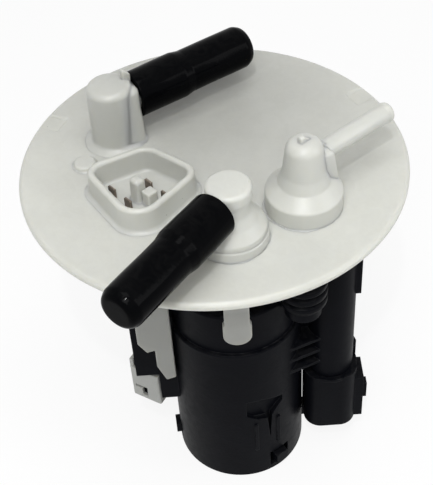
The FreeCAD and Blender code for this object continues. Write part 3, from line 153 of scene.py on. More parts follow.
def moulded_surface():
    """Colour, roughness, height and rounded normal of a moulded surface, with rubbed edges. The
    clouds and the grain are noise on the piece's own coordinates; an edge is where the
    normal and the normal averaged over the edge reach part."""
    group = bpy.data.node_groups.new("moulded_surface", "ShaderNodeTree")
    for label, kind in (("Colour", "Color"), ("Rubbed Colour", "Color"), ("Cloud Size", "Float"),
                        ("Cloud Share", "Float"), ("Grain Size", "Float"), ("Edge Reach", "Float"),
                        ("Rubbed Share", "Float"), ("Roughness", "Float"), ("Roughness Share", "Float"),
                        ("Speck Share", "Float"), ("Dust Share", "Float")):
        group.interface.new_socket(label, in_out="INPUT", socket_type="NodeSocket" + kind)
    for label, kind in (("Colour", "Color"), ("Roughness", "Float"), ("Height", "Float"),
                        ("Normal", "Vector")):
        group.interface.new_socket(label, in_out="OUTPUT", socket_type="NodeSocket" + kind)
    given = group.nodes.new("NodeGroupInput").outputs
    spot = place(group, "TexCoord").outputs["Object"]
    clouds = place(group, "TexNoise", {"Vector": spot, "Scale": given["Cloud Size"], "Detail": 4.0,
                                       "Roughness": 0.55, "Distortion": 0.8})
    swing = place(group, "Math", {0: clouds.outputs["Fac"], 1: 0.5}, operation="SUBTRACT")
    tint = place(group, "Math", {0: swing.outputs[0], 1: given["Cloud Share"], 2: 1.0},
                 operation="MULTIPLY_ADD")
    clouded = place(group, "VectorMath", {0: given["Colour"], "Scale": tint.outputs[0]},
                    operation="SCALE")

    grain = place(group, "TexNoise", {"Vector": spot, "Scale": given["Grain Size"], "Detail": 2.0})
    smear = place(group, "TexNoise", {"Vector": spot, "Scale": SMEAR_SIZE, "Detail": 3.0, "Distortion": 1.5})

    bent = place(group, "Bevel", {"Radius": given["Edge Reach"]}, samples=6)
    plain = place(group, "NewGeometry").outputs["Normal"]
    facing = place(group, "VectorMath", {0: bent.outputs[0], 1: plain}, operation="DOT_PRODUCT")
    edge = place(group, "MapRange", {"Value": facing.outputs["Value"], "From Min": EDGE_MEETS[0],
                                     "From Max": EDGE_MEETS[1], "To Min": 0.0, "To Max": 1.0})
    broken = place(group, "MapRange", {"Value": smear.outputs["Fac"], "From Min": 0.38,
                                       "From Max": 0.62})
    rub = place(group, "Math", {0: edge.outputs[0], 1: broken.outputs[0]}, operation="MULTIPLY")
    rub = place(group, "Math", {0: rub.outputs[0], 1: given["Rubbed Share"]}, operation="MULTIPLY")
    rubbed = place(group, "MixRGB", {"Fac": rub.outputs[0], "Color1": clouded.outputs[0],
                                     "Color2": given["Rubbed Colour"]})

    upward_part = place(group, "SeparateXYZ", {0: plain})
    lying = place(group, "MapRange", {"Value": upward_part.outputs["Z"], "From Min": 0.55,
                                      "From Max": 1.0})
    dust = place(group, "Math", {0: lying.outputs[0], 1: broken.outputs[0]}, operation="MULTIPLY")
    dust = place(group, "Math", {0: dust.outputs[0], 1: given["Dust Share"]}, operation="MULTIPLY")
    dusty = place(group, "MixRGB", {"Fac": dust.outputs[0], "Color1": rubbed.outputs[0],
                                    "Color2": DUST_COLOUR})

    cells = place(group, "TexVoronoi", {"Vector": spot, "Scale": SPECK_SIZE})
    near = place(group, "MapRange", {"Value": cells.outputs["Distance"], "From Min": 0.05,
                                     "From Max": 0.03})
    lottery = place(group, "SeparateXYZ", {0: cells.outputs["Color"]})
    drawn = place(group, "Math", {0: lottery.outputs["X"], 1: SPECKED_CELLS}, operation="GREATER_THAN")
    speck = place(group, "Math", {0: near.outputs[0], 1: drawn.outputs[0]}, operation="MULTIPLY")
    speck = place(group, "Math", {0: speck.outputs[0], 1: given["Speck Share"]}, operation="MULTIPLY")
    specked = place(group, "MixRGB", {"Fac": speck.outputs[0], "Color1": dusty.outputs[0],
                                      "Color2": SPECK_COLOUR})

    swing = place(group, "Math", {0: smear.outputs["Fac"], 1: 0.5}, operation="SUBTRACT")
    sheen = place(group, "Math", {0: swing.outputs[0], 1: given["Roughness Share"],
                                  2: given["Roughness"]}, operation="MULTIPLY_ADD")
    for mask, rougher in ((rub, 0.2), (dust, 0.4)):
        sheen = place(group, "Math", {0: mask.outputs[0], 1: rougher, 2: sheen.outputs[0]},
                      operation="MULTIPLY_ADD")
    wave = place(group, "Math", {0: clouds.outputs["Fac"], 1: 3.0, 2: grain.outputs["Fac"]},
                 operation="MULTIPLY_ADD")
    result = group.nodes.new("NodeGroupOutput").inputs
    for label, source in (("Colour", specked.outputs[0]), ("Roughness", sheen.outputs[0]),
                          ("Height", wave.outputs[0]), ("Normal", bent.outputs[0])):
        group.links.new(source, result[label])
    return group


surface_group = moulded_surface()


def moulded(name, colour, rubbed, clouds, grain, edges, gloss, specks=0.0, dust=0.0, relief=0.25,
            shader_values=None):
    """A material whose colour, roughness and relief come from the moulded surface's group.
    Clouds are a size and a share, edges a reach and a rubbed share, gloss a roughness and
    how much it varies."""
    material = bpy.data.materials.new(name)
    material.use_nodes = True
    tree = material.node_tree
    shader = tree.nodes["Principled BSDF"]
    look = place(tree, "Group", {
        "Colour": (*colour, 1), "Rubbed Colour": (*rubbed, 1), "Cloud Size": clouds[0],
        "Cloud Share": clouds[1], "Grain Size": grain, "Edge Reach": edges[0] * MM,
        "Rubbed Share": edges[1], "Roughness": gloss[0], "Roughness Share": gloss[1],
        "Speck Share": specks, "Dust Share": dust}, node_tree=surface_group)
    bump = place(tree, "Bump", {"Height": look.outputs["Height"], "Normal": look.outputs["Normal"],
                                "Strength": relief, "Distance": 0.1 * MM})
    tree.links.new(look.outputs["Colour"], shader.inputs["Base Color"])
    tree.links.new(look.outputs["Roughness"], shader.inputs["Roughness"])
    tree.links.new(bump.outputs[0], shader.inputs["Normal"])
    for socket, value in (shader_values or {}).items():
        shader.inputs[socket].default_value = value
    return material


def dress(finish, *labels):
    """Gives nodes of the frame a finish in place of their plain one."""
    for label in labels:
        nodes[label].data.materials.clear()
        nodes[label].data.materials.append(finish)


# ---------------------------------------------------------------------------
# Flange disc. Injection-moulded acetal, 120 mm across, with a rounded rim, two shallow
# recesses at its edge for the clamping ring's keys, and a sealing land round its underside.

ACETAL = (0.555, 0.56, 0.522)
acetal = moulded("white_acetal", ACETAL, (0.68, 0.68, 0.64),
                 clouds=(42.0, 0.16), grain=900.0, edges=(0.5, 0.5), gloss=(0.36, 0.22),
                 specks=0.6, dust=0.10, relief=0.22,
                 shader_values={"Subsurface Weight": 0.6, "Subsurface Radius": (1.0, 0.95, 0.8),
                                "Subsurface Scale": 0.0035, "Specular IOR Level": 0.5})

# Painted shade in the skin's colour: it is darker over the disc's middle, as painted shade and reflection,
# and greyer on what hangs below the disc, as painted shade under the disc.
PAINTED_SHADE_MIDDLE = (-2 * MM, 32 * MM, 4 * MM)
tree = acetal.node_tree
shader = tree.nodes["Principled BSDF"]
spot = place(tree, "TexCoord").outputs["Object"]
# Painted shade and reflection: the colour darkens towards a spot over the disc's middle, down to about seven
# tenths.
away_from_middle = place(tree, "VectorMath", {0: spot, 1: PAINTED_SHADE_MIDDLE}, operation="DISTANCE")
middle_painted_shade = place(tree, "MapRange", {"Value": away_from_middle.outputs["Value"], "From Min": 8 * MM,
                                        "From Max": 80 * MM, "To Min": 0.71, "To Max": 1.0},
                     interpolation_type="SMOOTHSTEP")
# Painted shade: from 2 mm to 12 mm below the disc's underside the colour falls to about half, where the disc
# shades the arm, the tongue and the ducts.
height = place(tree, "SeparateXYZ", {0: spot})
under_disc_painted_shade = place(tree, "MapRange", {"Value": height.outputs["Z"], "From Min": -12 * MM,
                                       "From Max": -2 * MM, "To Min": 0.52, "To Max": 1.0})
share = place(tree, "Math", {0: middle_painted_shade.outputs[0], 1: under_disc_painted_shade.outputs[0]},
              operation="MULTIPLY")
# The moulded colour is scaled by both painted shades.
moulded_colour = shader.inputs["Base Color"].links[0].from_socket
painted_shade_colour = place(tree, "VectorMath", {0: moulded_colour, "Scale": share.outputs[0]}, operation="SCALE")
tree.links.new(painted_shade_colour.outputs[0], shader.inputs["Base Color"])


def softened(corners, closed=False, steps=7):
    """A line through corners (across, up, rounding). A corner with a rounding gives way to
    the arc that touches both its sides: from the arc's centre, the spoke to the first
    touching point swings evenly to the last."""
    spots = np.array([corner[:2] for corner in corners], float)
    line = []
    for index, (spot, corner) in enumerate(zip(spots, corners)):
        at_end = not closed and index in (0, len(spots) - 1)
        if at_end or corner[2] == 0:
            line.append(spot[None])
            continue
        back = spots[index - 1] - spot
        on = spots[(index + 1) % len(spots)] - spot
        back, on = back / np.linalg.norm(back), on / np.linalg.norm(on)
        half = math.acos(float(np.clip(back @ on, -1, 1))) / 2
        middle = spot + (back + on) / np.linalg.norm(back + on) * corner[2] / math.sin(half)
        first = spot + back * corner[2] / math.tan(half) - middle
        last = spot + on * corner[2] / math.tan(half) - middle
        swing = math.pi - 2 * half
        share = np.linspace(0, 1, steps + 1)[:, None]
        spokes = (np.sin((1 - share) * swing) * first + np.sin(share * swing) * last) / math.sin(swing)
        line.append(middle + spokes)
    return np.concatenate(line)


def turned(line, columns=128):
    """The line (across, up) carried round the upright: (across cos t, across sin t, up)."""
    turn = np.linspace(0, 2 * math.pi, columns, endpoint=False)
    across, up = line[:, 0, None], line[:, 1, None]
    return np.stack([across * np.cos(turn), across * np.sin(turn), up + 0 * turn], -1)


def stood(points, x, y, z=0.0, turn=0.0):
    """Points turned about the upright by degrees and carried to x, y, z."""
    cosine, sine = math.cos(math.radians(turn)), math.sin(math.radians(turn))
    return np.stack([x + points[..., 0] * cosine - points[..., 1] * sine,
                     y + points[..., 0] * sine + points[..., 1] * cosine, z + points[..., 2]], -1)


def laid(points, x, y, z, heading):
    """Points with their upright laid level along a heading in degrees: along = up, the rest
    across it, and carried to x, y, z."""
    cosine, sine = math.cos(math.radians(heading)), math.sin(math.radians(heading))
    side, lift, along = points[..., 0], points[..., 1], points[..., 2]
    return np.stack([x + along * cosine - side * sine, y + along * sine + side * cosine, z + lift], -1)


def skin(name, grids, finish, body="unit", instead_of=(), crease=42.0):
    """One object from closed skins in millimetres. A skin is a grid: its rows follow the
    section and its columns run round and close on the first. Points that fall together
    at the poles are made one."""
    corners, faces, first = [], [], 0
    for grid in grids:
        rows, columns = grid.shape[:2]
        number = first + np.arange(rows * columns).reshape(rows, columns)
        on = np.roll(number, -1, axis=1)
        faces.append(np.stack([number[:-1], on[:-1], on[1:], number[1:]], -1).reshape(-1, 4))
        corners.append(grid.reshape(-1, 3) * MM)
        first += rows * columns
    corners, faces = np.concatenate(corners), np.concatenate(faces)
    mesh = bpy.data.meshes.new(name)
    mesh.vertices.add(len(corners))
    mesh.vertices.foreach_set("co", corners.astype(np.float32).ravel())
    mesh.loops.add(faces.size)
    mesh.loops.foreach_set("vertex_index", faces.astype(np.int32).ravel())
    mesh.polygons.add(len(faces))
    mesh.polygons.foreach_set("loop_start", np.arange(0, faces.size, 4, dtype=np.int32))
    mesh.update(calc_edges=True)
    solid = bmesh.new()
    solid.from_mesh(mesh)
    bmesh.ops.remove_doubles(solid, verts=solid.verts, dist=2e-6)
    bmesh.ops.recalc_face_normals(solid, faces=solid.faces)
    solid.to_mesh(mesh)
    solid.free()
    mesh.shade_smooth()
    mesh.set_sharp_from_angle(angle=math.radians(crease))
    mesh.materials.append(finish)
    made = bpy.data.objects.new(name, mesh)
    bpy.context.collection.objects.link(made)
    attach(made, body)
    if instead_of:
        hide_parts(*instead_of)
    return made


TOP = 2.4
ROOT = 1.4
WELD_ROOT = 1.6
LAND_RADIUS = 56.4
LAND_DEPTH = 0.3
FLANGE_RADIUS = 60.0
RECESS_TURNS = (155.0, 28.6)
RECESS_START = 52.3
RECESS_HALF_WIDTH = 3.6
RECESS_DEPTH = 0.7


def disc_with_recesses():
    """The disc's section turned round the upright, then sunk: within a recess, which is a
    window along and across its direction with soft sides, no point stands above its floor."""
    flat = np.concatenate([[0, 6, 14, 22, 30, 38, 45, 50], np.linspace(51.5, 57.2, 30)])
    flat = np.stack([flat, np.full(len(flat), TOP)], -1)
    rim = softened([(57.3, TOP, 0), (59.1, TOP - 0.08, 1.6), (FLANGE_RADIUS, TOP - 1.1, 0.7),
                    (FLANGE_RADIUS, 0.0, 0.35), (LAND_RADIUS, 0.0, 0.12),
                    (LAND_RADIUS, LAND_DEPTH, 0.1), (50.0, LAND_DEPTH, 0), (0.0, LAND_DEPTH, 0)],
                   steps=10)
    points = turned(np.concatenate([flat, rim]), 640)
    for turn in RECESS_TURNS:
        direction = np.array([math.cos(math.radians(turn)), math.sin(math.radians(turn))])
        along = points[..., :2] @ direction
        across = np.abs(points[..., 0] * direction[1] - points[..., 1] * direction[0])
        inward = (np.clip((along - RECESS_START) / 0.7, 0, 1)
                  * np.clip((RECESS_HALF_WIDTH - across) / 0.5, 0, 1))
        eased = inward * inward * (3 - 2 * inward)
        points[..., 2] = np.minimum(points[..., 2], TOP - RECESS_DEPTH * eased)
    return points


skin("flange_disc", [disc_with_recesses()], acetal, instead_of=["flange"])


# ---------------------------------------------------------------------------
# Inlet tower. Moulded in one with the disc: a round post on a soft foot, a flat-faced web
# behind the pipe with a small nub on its top edge, and a hose pipe with one barb, bored out.

INLET = (-29.8, 13.9)
INLET_TURN = 32.2
INLET_LEVEL = TOP + 13.5
inlet_along = np.array([math.cos(math.radians(INLET_TURN)), math.sin(math.radians(INLET_TURN))])


def post(line_corners, columns=128):
    """A turned post from its outline's corners, from the pole inside the disc to its top."""
    return turned(softened(line_corners), columns)


def brick(low, high, half_length, half_width, corner, top_round, foot=0.0, draft=0.0, columns=10):
    """An upright block with rounded corners, a rounded top and a flared foot. A section is
    the corner centres plus a spoke of the corner's length and the row's set-off."""
    lean = draft * (high - low)
    rows = [(lean + foot, low, 0.0), (lean + foot, low, 1.0)]
    if foot:
        share = np.linspace(0, math.pi / 2, 7)[1:]
        rows += [(lean + foot * (1 - math.sin(turn)), TOP + foot * (1 - math.cos(turn)), 1.0)
                 for turn in share]
    share = np.linspace(0, math.pi / 2, 7)
    rows += [(-top_round * (1 - math.cos(turn)), high - top_round * (1 - math.sin(turn)), 1.0)
             for turn in share]
    rows.append((-top_round, high, 0.0))
    return rounded_loft(rows, half_length, half_width, corner, columns)


def rounded_loft(rows, half_length, half_width, corner, columns=14):
    """Sections of a rounded rectangle, one a row of (set-off, height, scale)."""
    return cornered_loft(rows, [(half_length, half_width, corner), (-half_length, half_width, corner),
                                (-half_length, -half_width, corner), (half_length, -half_width, corner)],
                         columns)


def cornered_loft(rows, corners, columns=14):
    """Sections of an outline with rounded corners (x, y, rounding), counter-clockwise. A
    corner's arc has its centre on the bisector; each point is the centre plus a spoke of
    length rounding + set-off, and the row's scale draws it towards the middle."""
    spots = np.array([corner[:2] for corner in corners], float)
    after, before = np.roll(spots, -1, axis=0) - spots, spots - np.roll(spots, 1, axis=0)
    start = np.arctan2(-before[:, 0], before[:, 1])
    swing = (np.arctan2(-after[:, 0], after[:, 1]) - start) % (2 * math.pi)
    rounding = np.array([corner[2] for corner in corners], float)
    turn = start[:, None] + swing[:, None] * np.linspace(0, 1, columns)
    bisector = start + swing / 2
    outward = np.stack([np.cos(bisector), np.sin(bisector)], -1)
    centre = spots - (rounding / np.cos(swing / 2))[:, None] * outward
    centre, rounding = np.repeat(centre, columns, axis=0), np.repeat(rounding, columns)
    turn = turn.ravel()
    table = np.array(rows, float)
    reach = np.maximum(table[:, :1] + rounding, 0.02)
    middle = centre.mean(axis=0)
    x = middle[0] + (centre[:, 0] - middle[0] + reach * np.cos(turn)) * table[:, 2:]
    y = middle[1] + (centre[:, 1] - middle[1] + reach * np.sin(turn)) * table[:, 2:]
    return np.stack([x, y, table[:, 1:2] + 0 * x], -1)


inlet_post = stood(post([(0, ROOT, 0), (10.0, ROOT, 0), (10.0, TOP - 0.12, 0), (8.6, TOP + 0.55, 1.2),
                         (7.25, TOP + 1.3, 1.6), (7.1, TOP + 21.0, 2.2), (0, TOP + 21.3, 0)]),
                   INLET[0] - 0.4, INLET[1])
inlet_web = stood(brick(ROOT, TOP + 19.8, 4.6, 6.4, 2.6, 2.0, foot=1.0, draft=0.03),
                  *(INLET + 2.6 * inlet_along), turn=INLET_TURN)


def slanted(points, low, high, fall, start):
    """Leans a block's top: above low, a point past start sinks by fall for each millimetre out."""
    part = np.clip((points[..., 2] - low) / (high - low), 0, 1)
    sunk = points.copy()
    sunk[..., 2] -= part * fall * np.maximum(points[..., 0] - start, 0)
    return sunk


nub_block = brick(TOP + 16.5, TOP + 24.4, 1.35, 0.95, 0.4, 0.5)
inlet_nub = stood(slanted(nub_block, TOP + 20, TOP + 24.4, 1.1, -0.6),
                  *(INLET + 5.6 * inlet_along), turn=INLET_TURN)


def hose_pipe(reach, pipe, barb, bore, start=1.0):
    """A barbed pipe: from the blind end of its bore out to the mouth, over the lead and the
    barb and back along the outside into the tower."""
    return turned(softened([(0, start + 3, 0), (bore, start + 3, 0.3), (bore, reach, 0.25),
                            (pipe - 0.5, reach, 0.25), (barb, reach - 3.2, 0.25),
                            (pipe, reach - 3.8, 0.15),
                            (pipe, start, 0), (0, start, 0)], steps=4), 96)


inlet_pipe = laid(hose_pipe(26.0, 4.5, 5.0, 2.8), *INLET, INLET_LEVEL, INLET_TURN)
skin("inlet_tower", [inlet_post, inlet_web, inlet_nub, inlet_pipe], acetal,
     instead_of=["flange"])

# Low witness pad beside the inlet tower, where the tool's gate was.
skin("gate_pad",
     [stood(post([(0, WELD_ROOT, 0), (4.3, WELD_ROOT, 0), (4.3, TOP - 0.1, 0), (3.6, TOP + 0.3, 0.5),
                  (3.2, TOP + 1.4, 0.9), (0, TOP + 1.5, 0)], 64), -39.6, 1.8)],
     acetal, instead_of=["flange"])


# ---------------------------------------------------------------------------
# Connector shroud. A cup with four uneven rounded corners, moulded on the disc for the
# wiring plug, with a thick soft lip, and a key post and a locating block on its floor that
# let the plug in one way round only.

SHROUD = (-22.1, -13.2)
SHROUD_TURN = -50.0
SHROUD_RIM = TOP + 8.0
SHROUD_CORNERS = ((-15.2, -10.4, 5.4), (15.8, -14.9, 8.0), (11.5, 14.6, 5.4), (-9.0, 11.0, 7.2))
CUP_FLOOR = TOP + 0.05
LIP_ROUND = 1.15


def quarter(middle, rise, reach, start, end, count=7):
    """Rows along a quarter round: set-off = middle + reach cos t, height = rise + reach sin t."""
    turn = np.radians(np.linspace(start, end, count))
    return [(middle + reach * math.cos(angle), rise + reach * math.sin(angle), 1.0) for angle in turn]


cup_rows = [(1.9, ROOT, 0.0), (1.9, ROOT, 1.0), (1.9, TOP - 0.1, 1.0)]
cup_rows += quarter(1.95, TOP + 1.6, 1.6, 268, 186)
cup_rows += quarter(-1.0, SHROUD_RIM - LIP_ROUND, LIP_ROUND, 6, 174, 17)
cup_rows += [(-2.3, TOP + 1.9, 1.0)]
cup_rows += quarter(-3.55, CUP_FLOOR + 1.2, 1.2, 0, -90)
cup_rows += [(-3.55, CUP_FLOOR, 0.5), (-3.55, CUP_FLOOR, 0.0)]
plug_cup = stood(cornered_loft(cup_rows, SHROUD_CORNERS, 16), *SHROUD, turn=SHROUD_TURN)


def in_shroud(points, along, across):
    """Points of a small block moved to its place in the shroud's own turned frame."""
    moved = points + np.array([along, across, 0.0])
    return stood(moved, *SHROUD, turn=SHROUD_TURN)


key_post = in_shroud(brick(TOP - 0.5, TOP + 7.9, 1.9, 1.75, 0.9, 1.3, foot=0.7, draft=0.02), 0.9, -1.7)
locating_block = in_shroud(brick(TOP - 0.5, TOP + 4.8, 1.75, 1.75, 0.4, 0.4, foot=0.5), 5.0, -0.6)
skin("connector_shroud", [plug_cup, key_post, locating_block], acetal,
     instead_of=["flange"])


# ---------------------------------------------------------------------------
# Terminals. Four flat blades of tinned brass, pressed in before moulding. Their tin has
# gone dull and brown, and the chamfered tips are bright where plugs have rubbed them.

blade_tin = moulded("blade_tin", (0.20, 0.165, 0.135), (0.55, 0.50, 0.44),
                    clouds=(420.0, 0.9), grain=2500.0, edges=(0.2, 0.9), gloss=(0.38, 0.3), relief=0.3,
                    shader_values={"Metallic": 0.85})
dress(blade_tin, "terminal_a", "terminal_b", "terminal_c", "terminal_d")


# ---------------------------------------------------------------------------
# Outlet tower. A domed post with a cone-shaped collar on a round ring, hot-plate welded to
# the disc, which leaves a thin wavy bead round its foot. Its barbed pipe points front left.

OUTLET = (3.6, -33.8)
OUTLET_TURN = -127.9
OUTLET_LEVEL = TOP + 14.3


def weld_bead(radius, thickness, seed, columns=220):
    """A squeezed-out bead: a small ring whose radius and thickness ripple round the foot,
    as the sum of three cosines."""
    turn = np.linspace(0, 2 * math.pi, columns, endpoint=False)
    ripple = (np.cos(5 * turn + seed) + 0.6 * np.cos(11 * turn + 2 * seed) + 0.4 * np.cos(23 * turn))
    around = np.linspace(0, 2 * math.pi, 11)[:, None]
    size = thickness * (1 + 0.16 * ripple)
    across = radius + 0.10 * ripple + size * np.cos(around)
    up = TOP + 0.7 * size * np.sin(around)
    return np.stack([across * np.cos(turn), across * np.sin(turn), up], -1)


outlet_post = stood(post([(0, -15.8, 0), (2.2, -15.8, 0), (4.0, -15.8, 0.3), (4.0, WELD_ROOT, 0),
                          (11.1, WELD_ROOT, 0),
                          (11.1, TOP + 3.5, 0.7), (10.6, TOP + 3.6, 0.25), (10.5, TOP + 5.2, 1.2),
                          (8.0, TOP + 8.3, 2.0), (6.3, TOP + 11.6, 3.0), (6.3, TOP + 15.0, 2.0),
                          (6.7, TOP + 16.4, 1.5), (6.6, TOP + 20.0, 1.4), (0, TOP + 20.4, 0)], 160),
                    *OUTLET)
outlet_pipe = laid(hose_pipe(25.5, 4.1, 4.6, 2.6), *OUTLET, OUTLET_LEVEL, OUTLET_TURN)
skin("outlet_tower_dressed", [outlet_post, stood(weld_bead(11.0, 0.3, 0.7), *OUTLET), outlet_pipe],
     acetal, instead_of=["outlet_tower"])


# ---------------------------------------------------------------------------
# Vent tower. A tapered post on a bevelled ring, welded to the disc, with a thin open pipe
# that ends in a bead, a gusset from the pipe down to the ring, and a nub on its top.

VENT = (25.3, -22.6)
VENT_TURN = 36.9
VENT_LEVEL = TOP + 16.0

vent_post = stood(post([(0, -7.6, 0), (4.0, -7.6, 0.3), (4.0, WELD_ROOT, 0), (11.5, WELD_ROOT, 0),
                        (11.5, TOP + 5.9, 1.2), (7.7, TOP + 9.4, 1.4), (6.4, TOP + 13.0, 4.0),
                        (5.2, TOP + 23.4, 3.4), (0, TOP + 24.4, 0)], 160), VENT[0] + 0.4, VENT[1] + 0.3)


def gusset(outline, half_width, edge_round, rows=7):
    """A flat web: its outline in (along, up), swept across its thickness, and drawn in by
    the edge's rounding at both faces: set-in = rounding (1 - cos t)."""
    line = softened(outline, closed=True, steps=5)
    middle = line.mean(axis=0)
    turn = np.linspace(-math.pi / 2, math.pi / 2, rows)
    across = (half_width - edge_round) * np.sign(turn) + edge_round * np.sin(turn)
    inset = 1 - edge_round * (1 - np.cos(turn)) / np.abs(line - middle).max()
    table = [(0.0, -half_width)] + list(zip(inset, across)) + [(0.0, half_width)]
    share, side = np.array(table).T
    grid = middle + share[:, None, None] * (line - middle)
    return np.stack([grid[..., 0], side[:, None] + 0 * grid[..., 0], grid[..., 1]], -1)


vent_web = stood(gusset([(-1.0, WELD_ROOT, 0), (10.8, WELD_ROOT, 0), (10.6, TOP + 5.0, 0.6),
                         (8.0, TOP + 18.6, 1.6), (-1.0, TOP + 20.2, 0)], 4.6, 1.8),
                 *VENT, turn=VENT_TURN)
vent_ridge = stood(gusset([(-1.4, TOP + 15.0, 0), (8.4, TOP + 15.0, 0.3), (8.4, TOP + 18.6, 0.4),
                           (0.0, TOP + 25.9, 0.5), (-1.4, TOP + 25.9, 0.4)], 0.9, 0.4),
                   *VENT, turn=VENT_TURN)
vent_pipe = laid(turned(softened([(0, 8.0, 0), (1.8, 8.0, 0.3), (1.8, 34.1, 0.3), (2.9, 34.1, 0.45),
                                  (3.35, 33.0, 0.7), (2.95, 31.9, 0.4), (2.95, 1.0, 0), (0, 1.0, 0)],
                                 steps=5), 80), *VENT, VENT_LEVEL, VENT_TURN)
skin("vent_tower_dressed",
     [vent_post, vent_web, vent_ridge, vent_pipe, stood(weld_bead(11.4, 0.3, 2.1), *VENT)],
     acetal, instead_of=["vent_tower"])


# ---------------------------------------------------------------------------
# Transport caps. Dipped black vinyl, pushed on both fuel pipes: stretched over the pipe and
# its barb, slack beyond it, with a domed end. The skin is glossy and slightly uneven.

cap_vinyl = moulded("cap_vinyl", (0.0012, 0.0013, 0.0017), (0.02, 0.02, 0.021),
                    clouds=(120.0, 0.5), grain=700.0, edges=(0.3, 0.3), gloss=(0.11, 0.08),
                    dust=0.004, relief=0.16,
                    shader_values={"Specular IOR Level": 0.022})


CAP_LENGTH = 43.2
CAP_WALL = 1.6
CAP_SWELL = 2.15
CAP_END = 3.0
CAP_STEP = 1.2


def dipped_cap(begin, bore, sway, columns=112):
    """The cap's section turned round its axis, then made uneven: the radius swells and
    shrinks by a few hundredths with slow waves along and round the cap."""
    slack, swell, end = bore + CAP_WALL, bore + CAP_SWELL, begin + CAP_LENGTH
    line = softened([(0, end, 0), (slack - 1.2, end, 2.2), (slack, end - 2.6, 3.0),
                     (slack, begin + 19.6, 4.0), (swell, begin + 16.6, 4.0), (swell, begin + 9.0, 0),
                     (swell - 0.12, begin, 0.6), (bore, begin, 0.4), (bore, end - CAP_END, 1.5),
                     (0, end - CAP_END, 0)], steps=12)
    fine = [line[0]]
    for before, after in zip(line[:-1], line[1:]):
        count = max(1, int(np.linalg.norm(after - before) / CAP_STEP))
        fine += [before + (after - before) * share for share in np.linspace(0, 1, count + 1)[1:]]
    points = turned(np.array(fine), columns)
    turn = np.linspace(0, 2 * math.pi, columns, endpoint=False)
    along = np.array(fine)[:, 1, None] - begin
    wave = (0.035 * np.cos(2 * turn + sway + along * 0.11) * np.sin(along * 0.21 + sway)
            + 0.02 * np.cos(3 * turn - along * 0.35 + 2 * sway)) * np.clip(along / 4.0, 0, 1)
    points[..., :2] *= 1 + (wave / slack)[..., None]
    return points


for label, spot, level, heading, begin, bore, sway in (
        ("rear_cap", INLET, INLET_LEVEL, INLET_TURN, 7.2, 5.3, 0.4),
        ("front_cap", OUTLET, OUTLET_LEVEL, OUTLET_TURN, 6.8, 4.9, 2.3)):
    skin(label + "_dipped", [laid(dipped_cap(begin, bore, sway), *spot, level, heading)], cap_vinyl,
         body=label, instead_of=[label])


# ---------------------------------------------------------------------------
# Snap arm, tongue and ducts under the disc, all moulded with it. The arm's two prongs hook
# behind the side bracket, the tongue guides the canister, and the duct carries the fuel
# from the inlet tower to the canister's roof.

def flat_arm(outline, y, thickness):
    """A flat arm in the plane of x and z: its rounded outline, standing at y."""
    line = softened(outline, closed=True, steps=8)
    count = len(line)
    faces = [tuple(range(count))[::-1], tuple(range(count, 2 * count))]
    front = np.arange(count)
    on = np.roll(front, -1)
    faces += [tuple(face) for face in np.stack([front, on, on + count, front + count], -1).tolist()]
    both = np.concatenate([np.stack([line[:, 0], np.full(count, y - thickness / 2), line[:, 1]], -1),
                           np.stack([line[:, 0], np.full(count, y + thickness / 2), line[:, 1]], -1)])
    return both * MM, faces


def plate(name, outline, y, thickness, edge_round, finish, instead_of):
    """An object from a flat arm's outline, with its edges rounded by a bevel."""
    corners, faces = flat_arm(outline, y, thickness)
    mesh = bpy.data.meshes.new(name)
    mesh.from_pydata(corners.tolist(), [], faces)
    solid = bmesh.new()
    solid.from_mesh(mesh)
    bmesh.ops.recalc_face_normals(solid, faces=solid.faces)
    solid.to_mesh(mesh)
    solid.free()
    mesh.shade_smooth()
    mesh.set_sharp_from_angle(angle=math.radians(40))
    mesh.materials.append(finish)
    made = bpy.data.objects.new(name, mesh)
    bpy.context.collection.objects.link(made)
    rounding = made.modifiers.new("rounded_edges", "BEVEL")
    rounding.width = edge_round * MM
    rounding.segments = 3
    rounding.angle_limit = math.radians(40)
    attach(made, "unit")
    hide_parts(*instead_of)
    return made


plate("snap_arm", [(-27.4, 1.2, 0), (-27.4, -38.6, 0.6), (-24.85, -43.0, 0.5), (-22.3, -42.2, 0.3),
                   (-22.3, -50.1, 0.5), (-19.73, -57.1, 0.6), (-16.6, -55.9, 0.4), (-16.6, 1.2, 0)],
      -36.2, 2.4, 0.3, acetal, ["flange"])
plate("canister_tongue", [(-0.1, 1.2, 0), (-0.1, -16.6, 0.8), (-0.65, -17.6, 0.5),
                          (-0.65, -26.1, 4.2), (7.85, -26.1, 4.2), (7.85, -17.6, 0.5),
                          (7.3, -16.6, 0.8), (7.3, 1.2, 0)],
      -49.85, 1.9, 0.3, acetal, ["flange"])

DUCT = (0.7, -11.3)
HOSE = (23.5, -42.3)
HOSE_TOP = 0.3
HOSE_FOOT = -18.3
duct_run = math.hypot(DUCT[0] - INLET[0], DUCT[1] - INLET[1])
duct_heading = math.degrees(math.atan2(DUCT[1] - INLET[1], DUCT[0] - INLET[0]))
duct_rib = brick(-1.2, 7.6, duct_run / 2 + 4.3, 4.3, 4.25, 1.0)
duct_rib[..., 2] *= -1
duct_rib = stood(duct_rib, (INLET[0] + DUCT[0]) / 2, (INLET[1] + DUCT[1]) / 2, turn=duct_heading)
duct_spigot = stood(post([(0, -15.8, 0), (2.2, -15.8, 0), (4.0, -15.8, 0.3), (4.0, -6.9, 0.8),
                          (5.2, -6.5, 0), (0, -6.0, 0)], 64), *DUCT)
hose_stub = stood(post([(0, 1.2, 0), (3.9, 1.2, 0), (3.9, -3.6, 0.4), (0, -3.6, 0)], 64), *HOSE)
skin("flange_ducts", [duct_rib, duct_spigot, hose_stub], acetal, instead_of=["flange"])


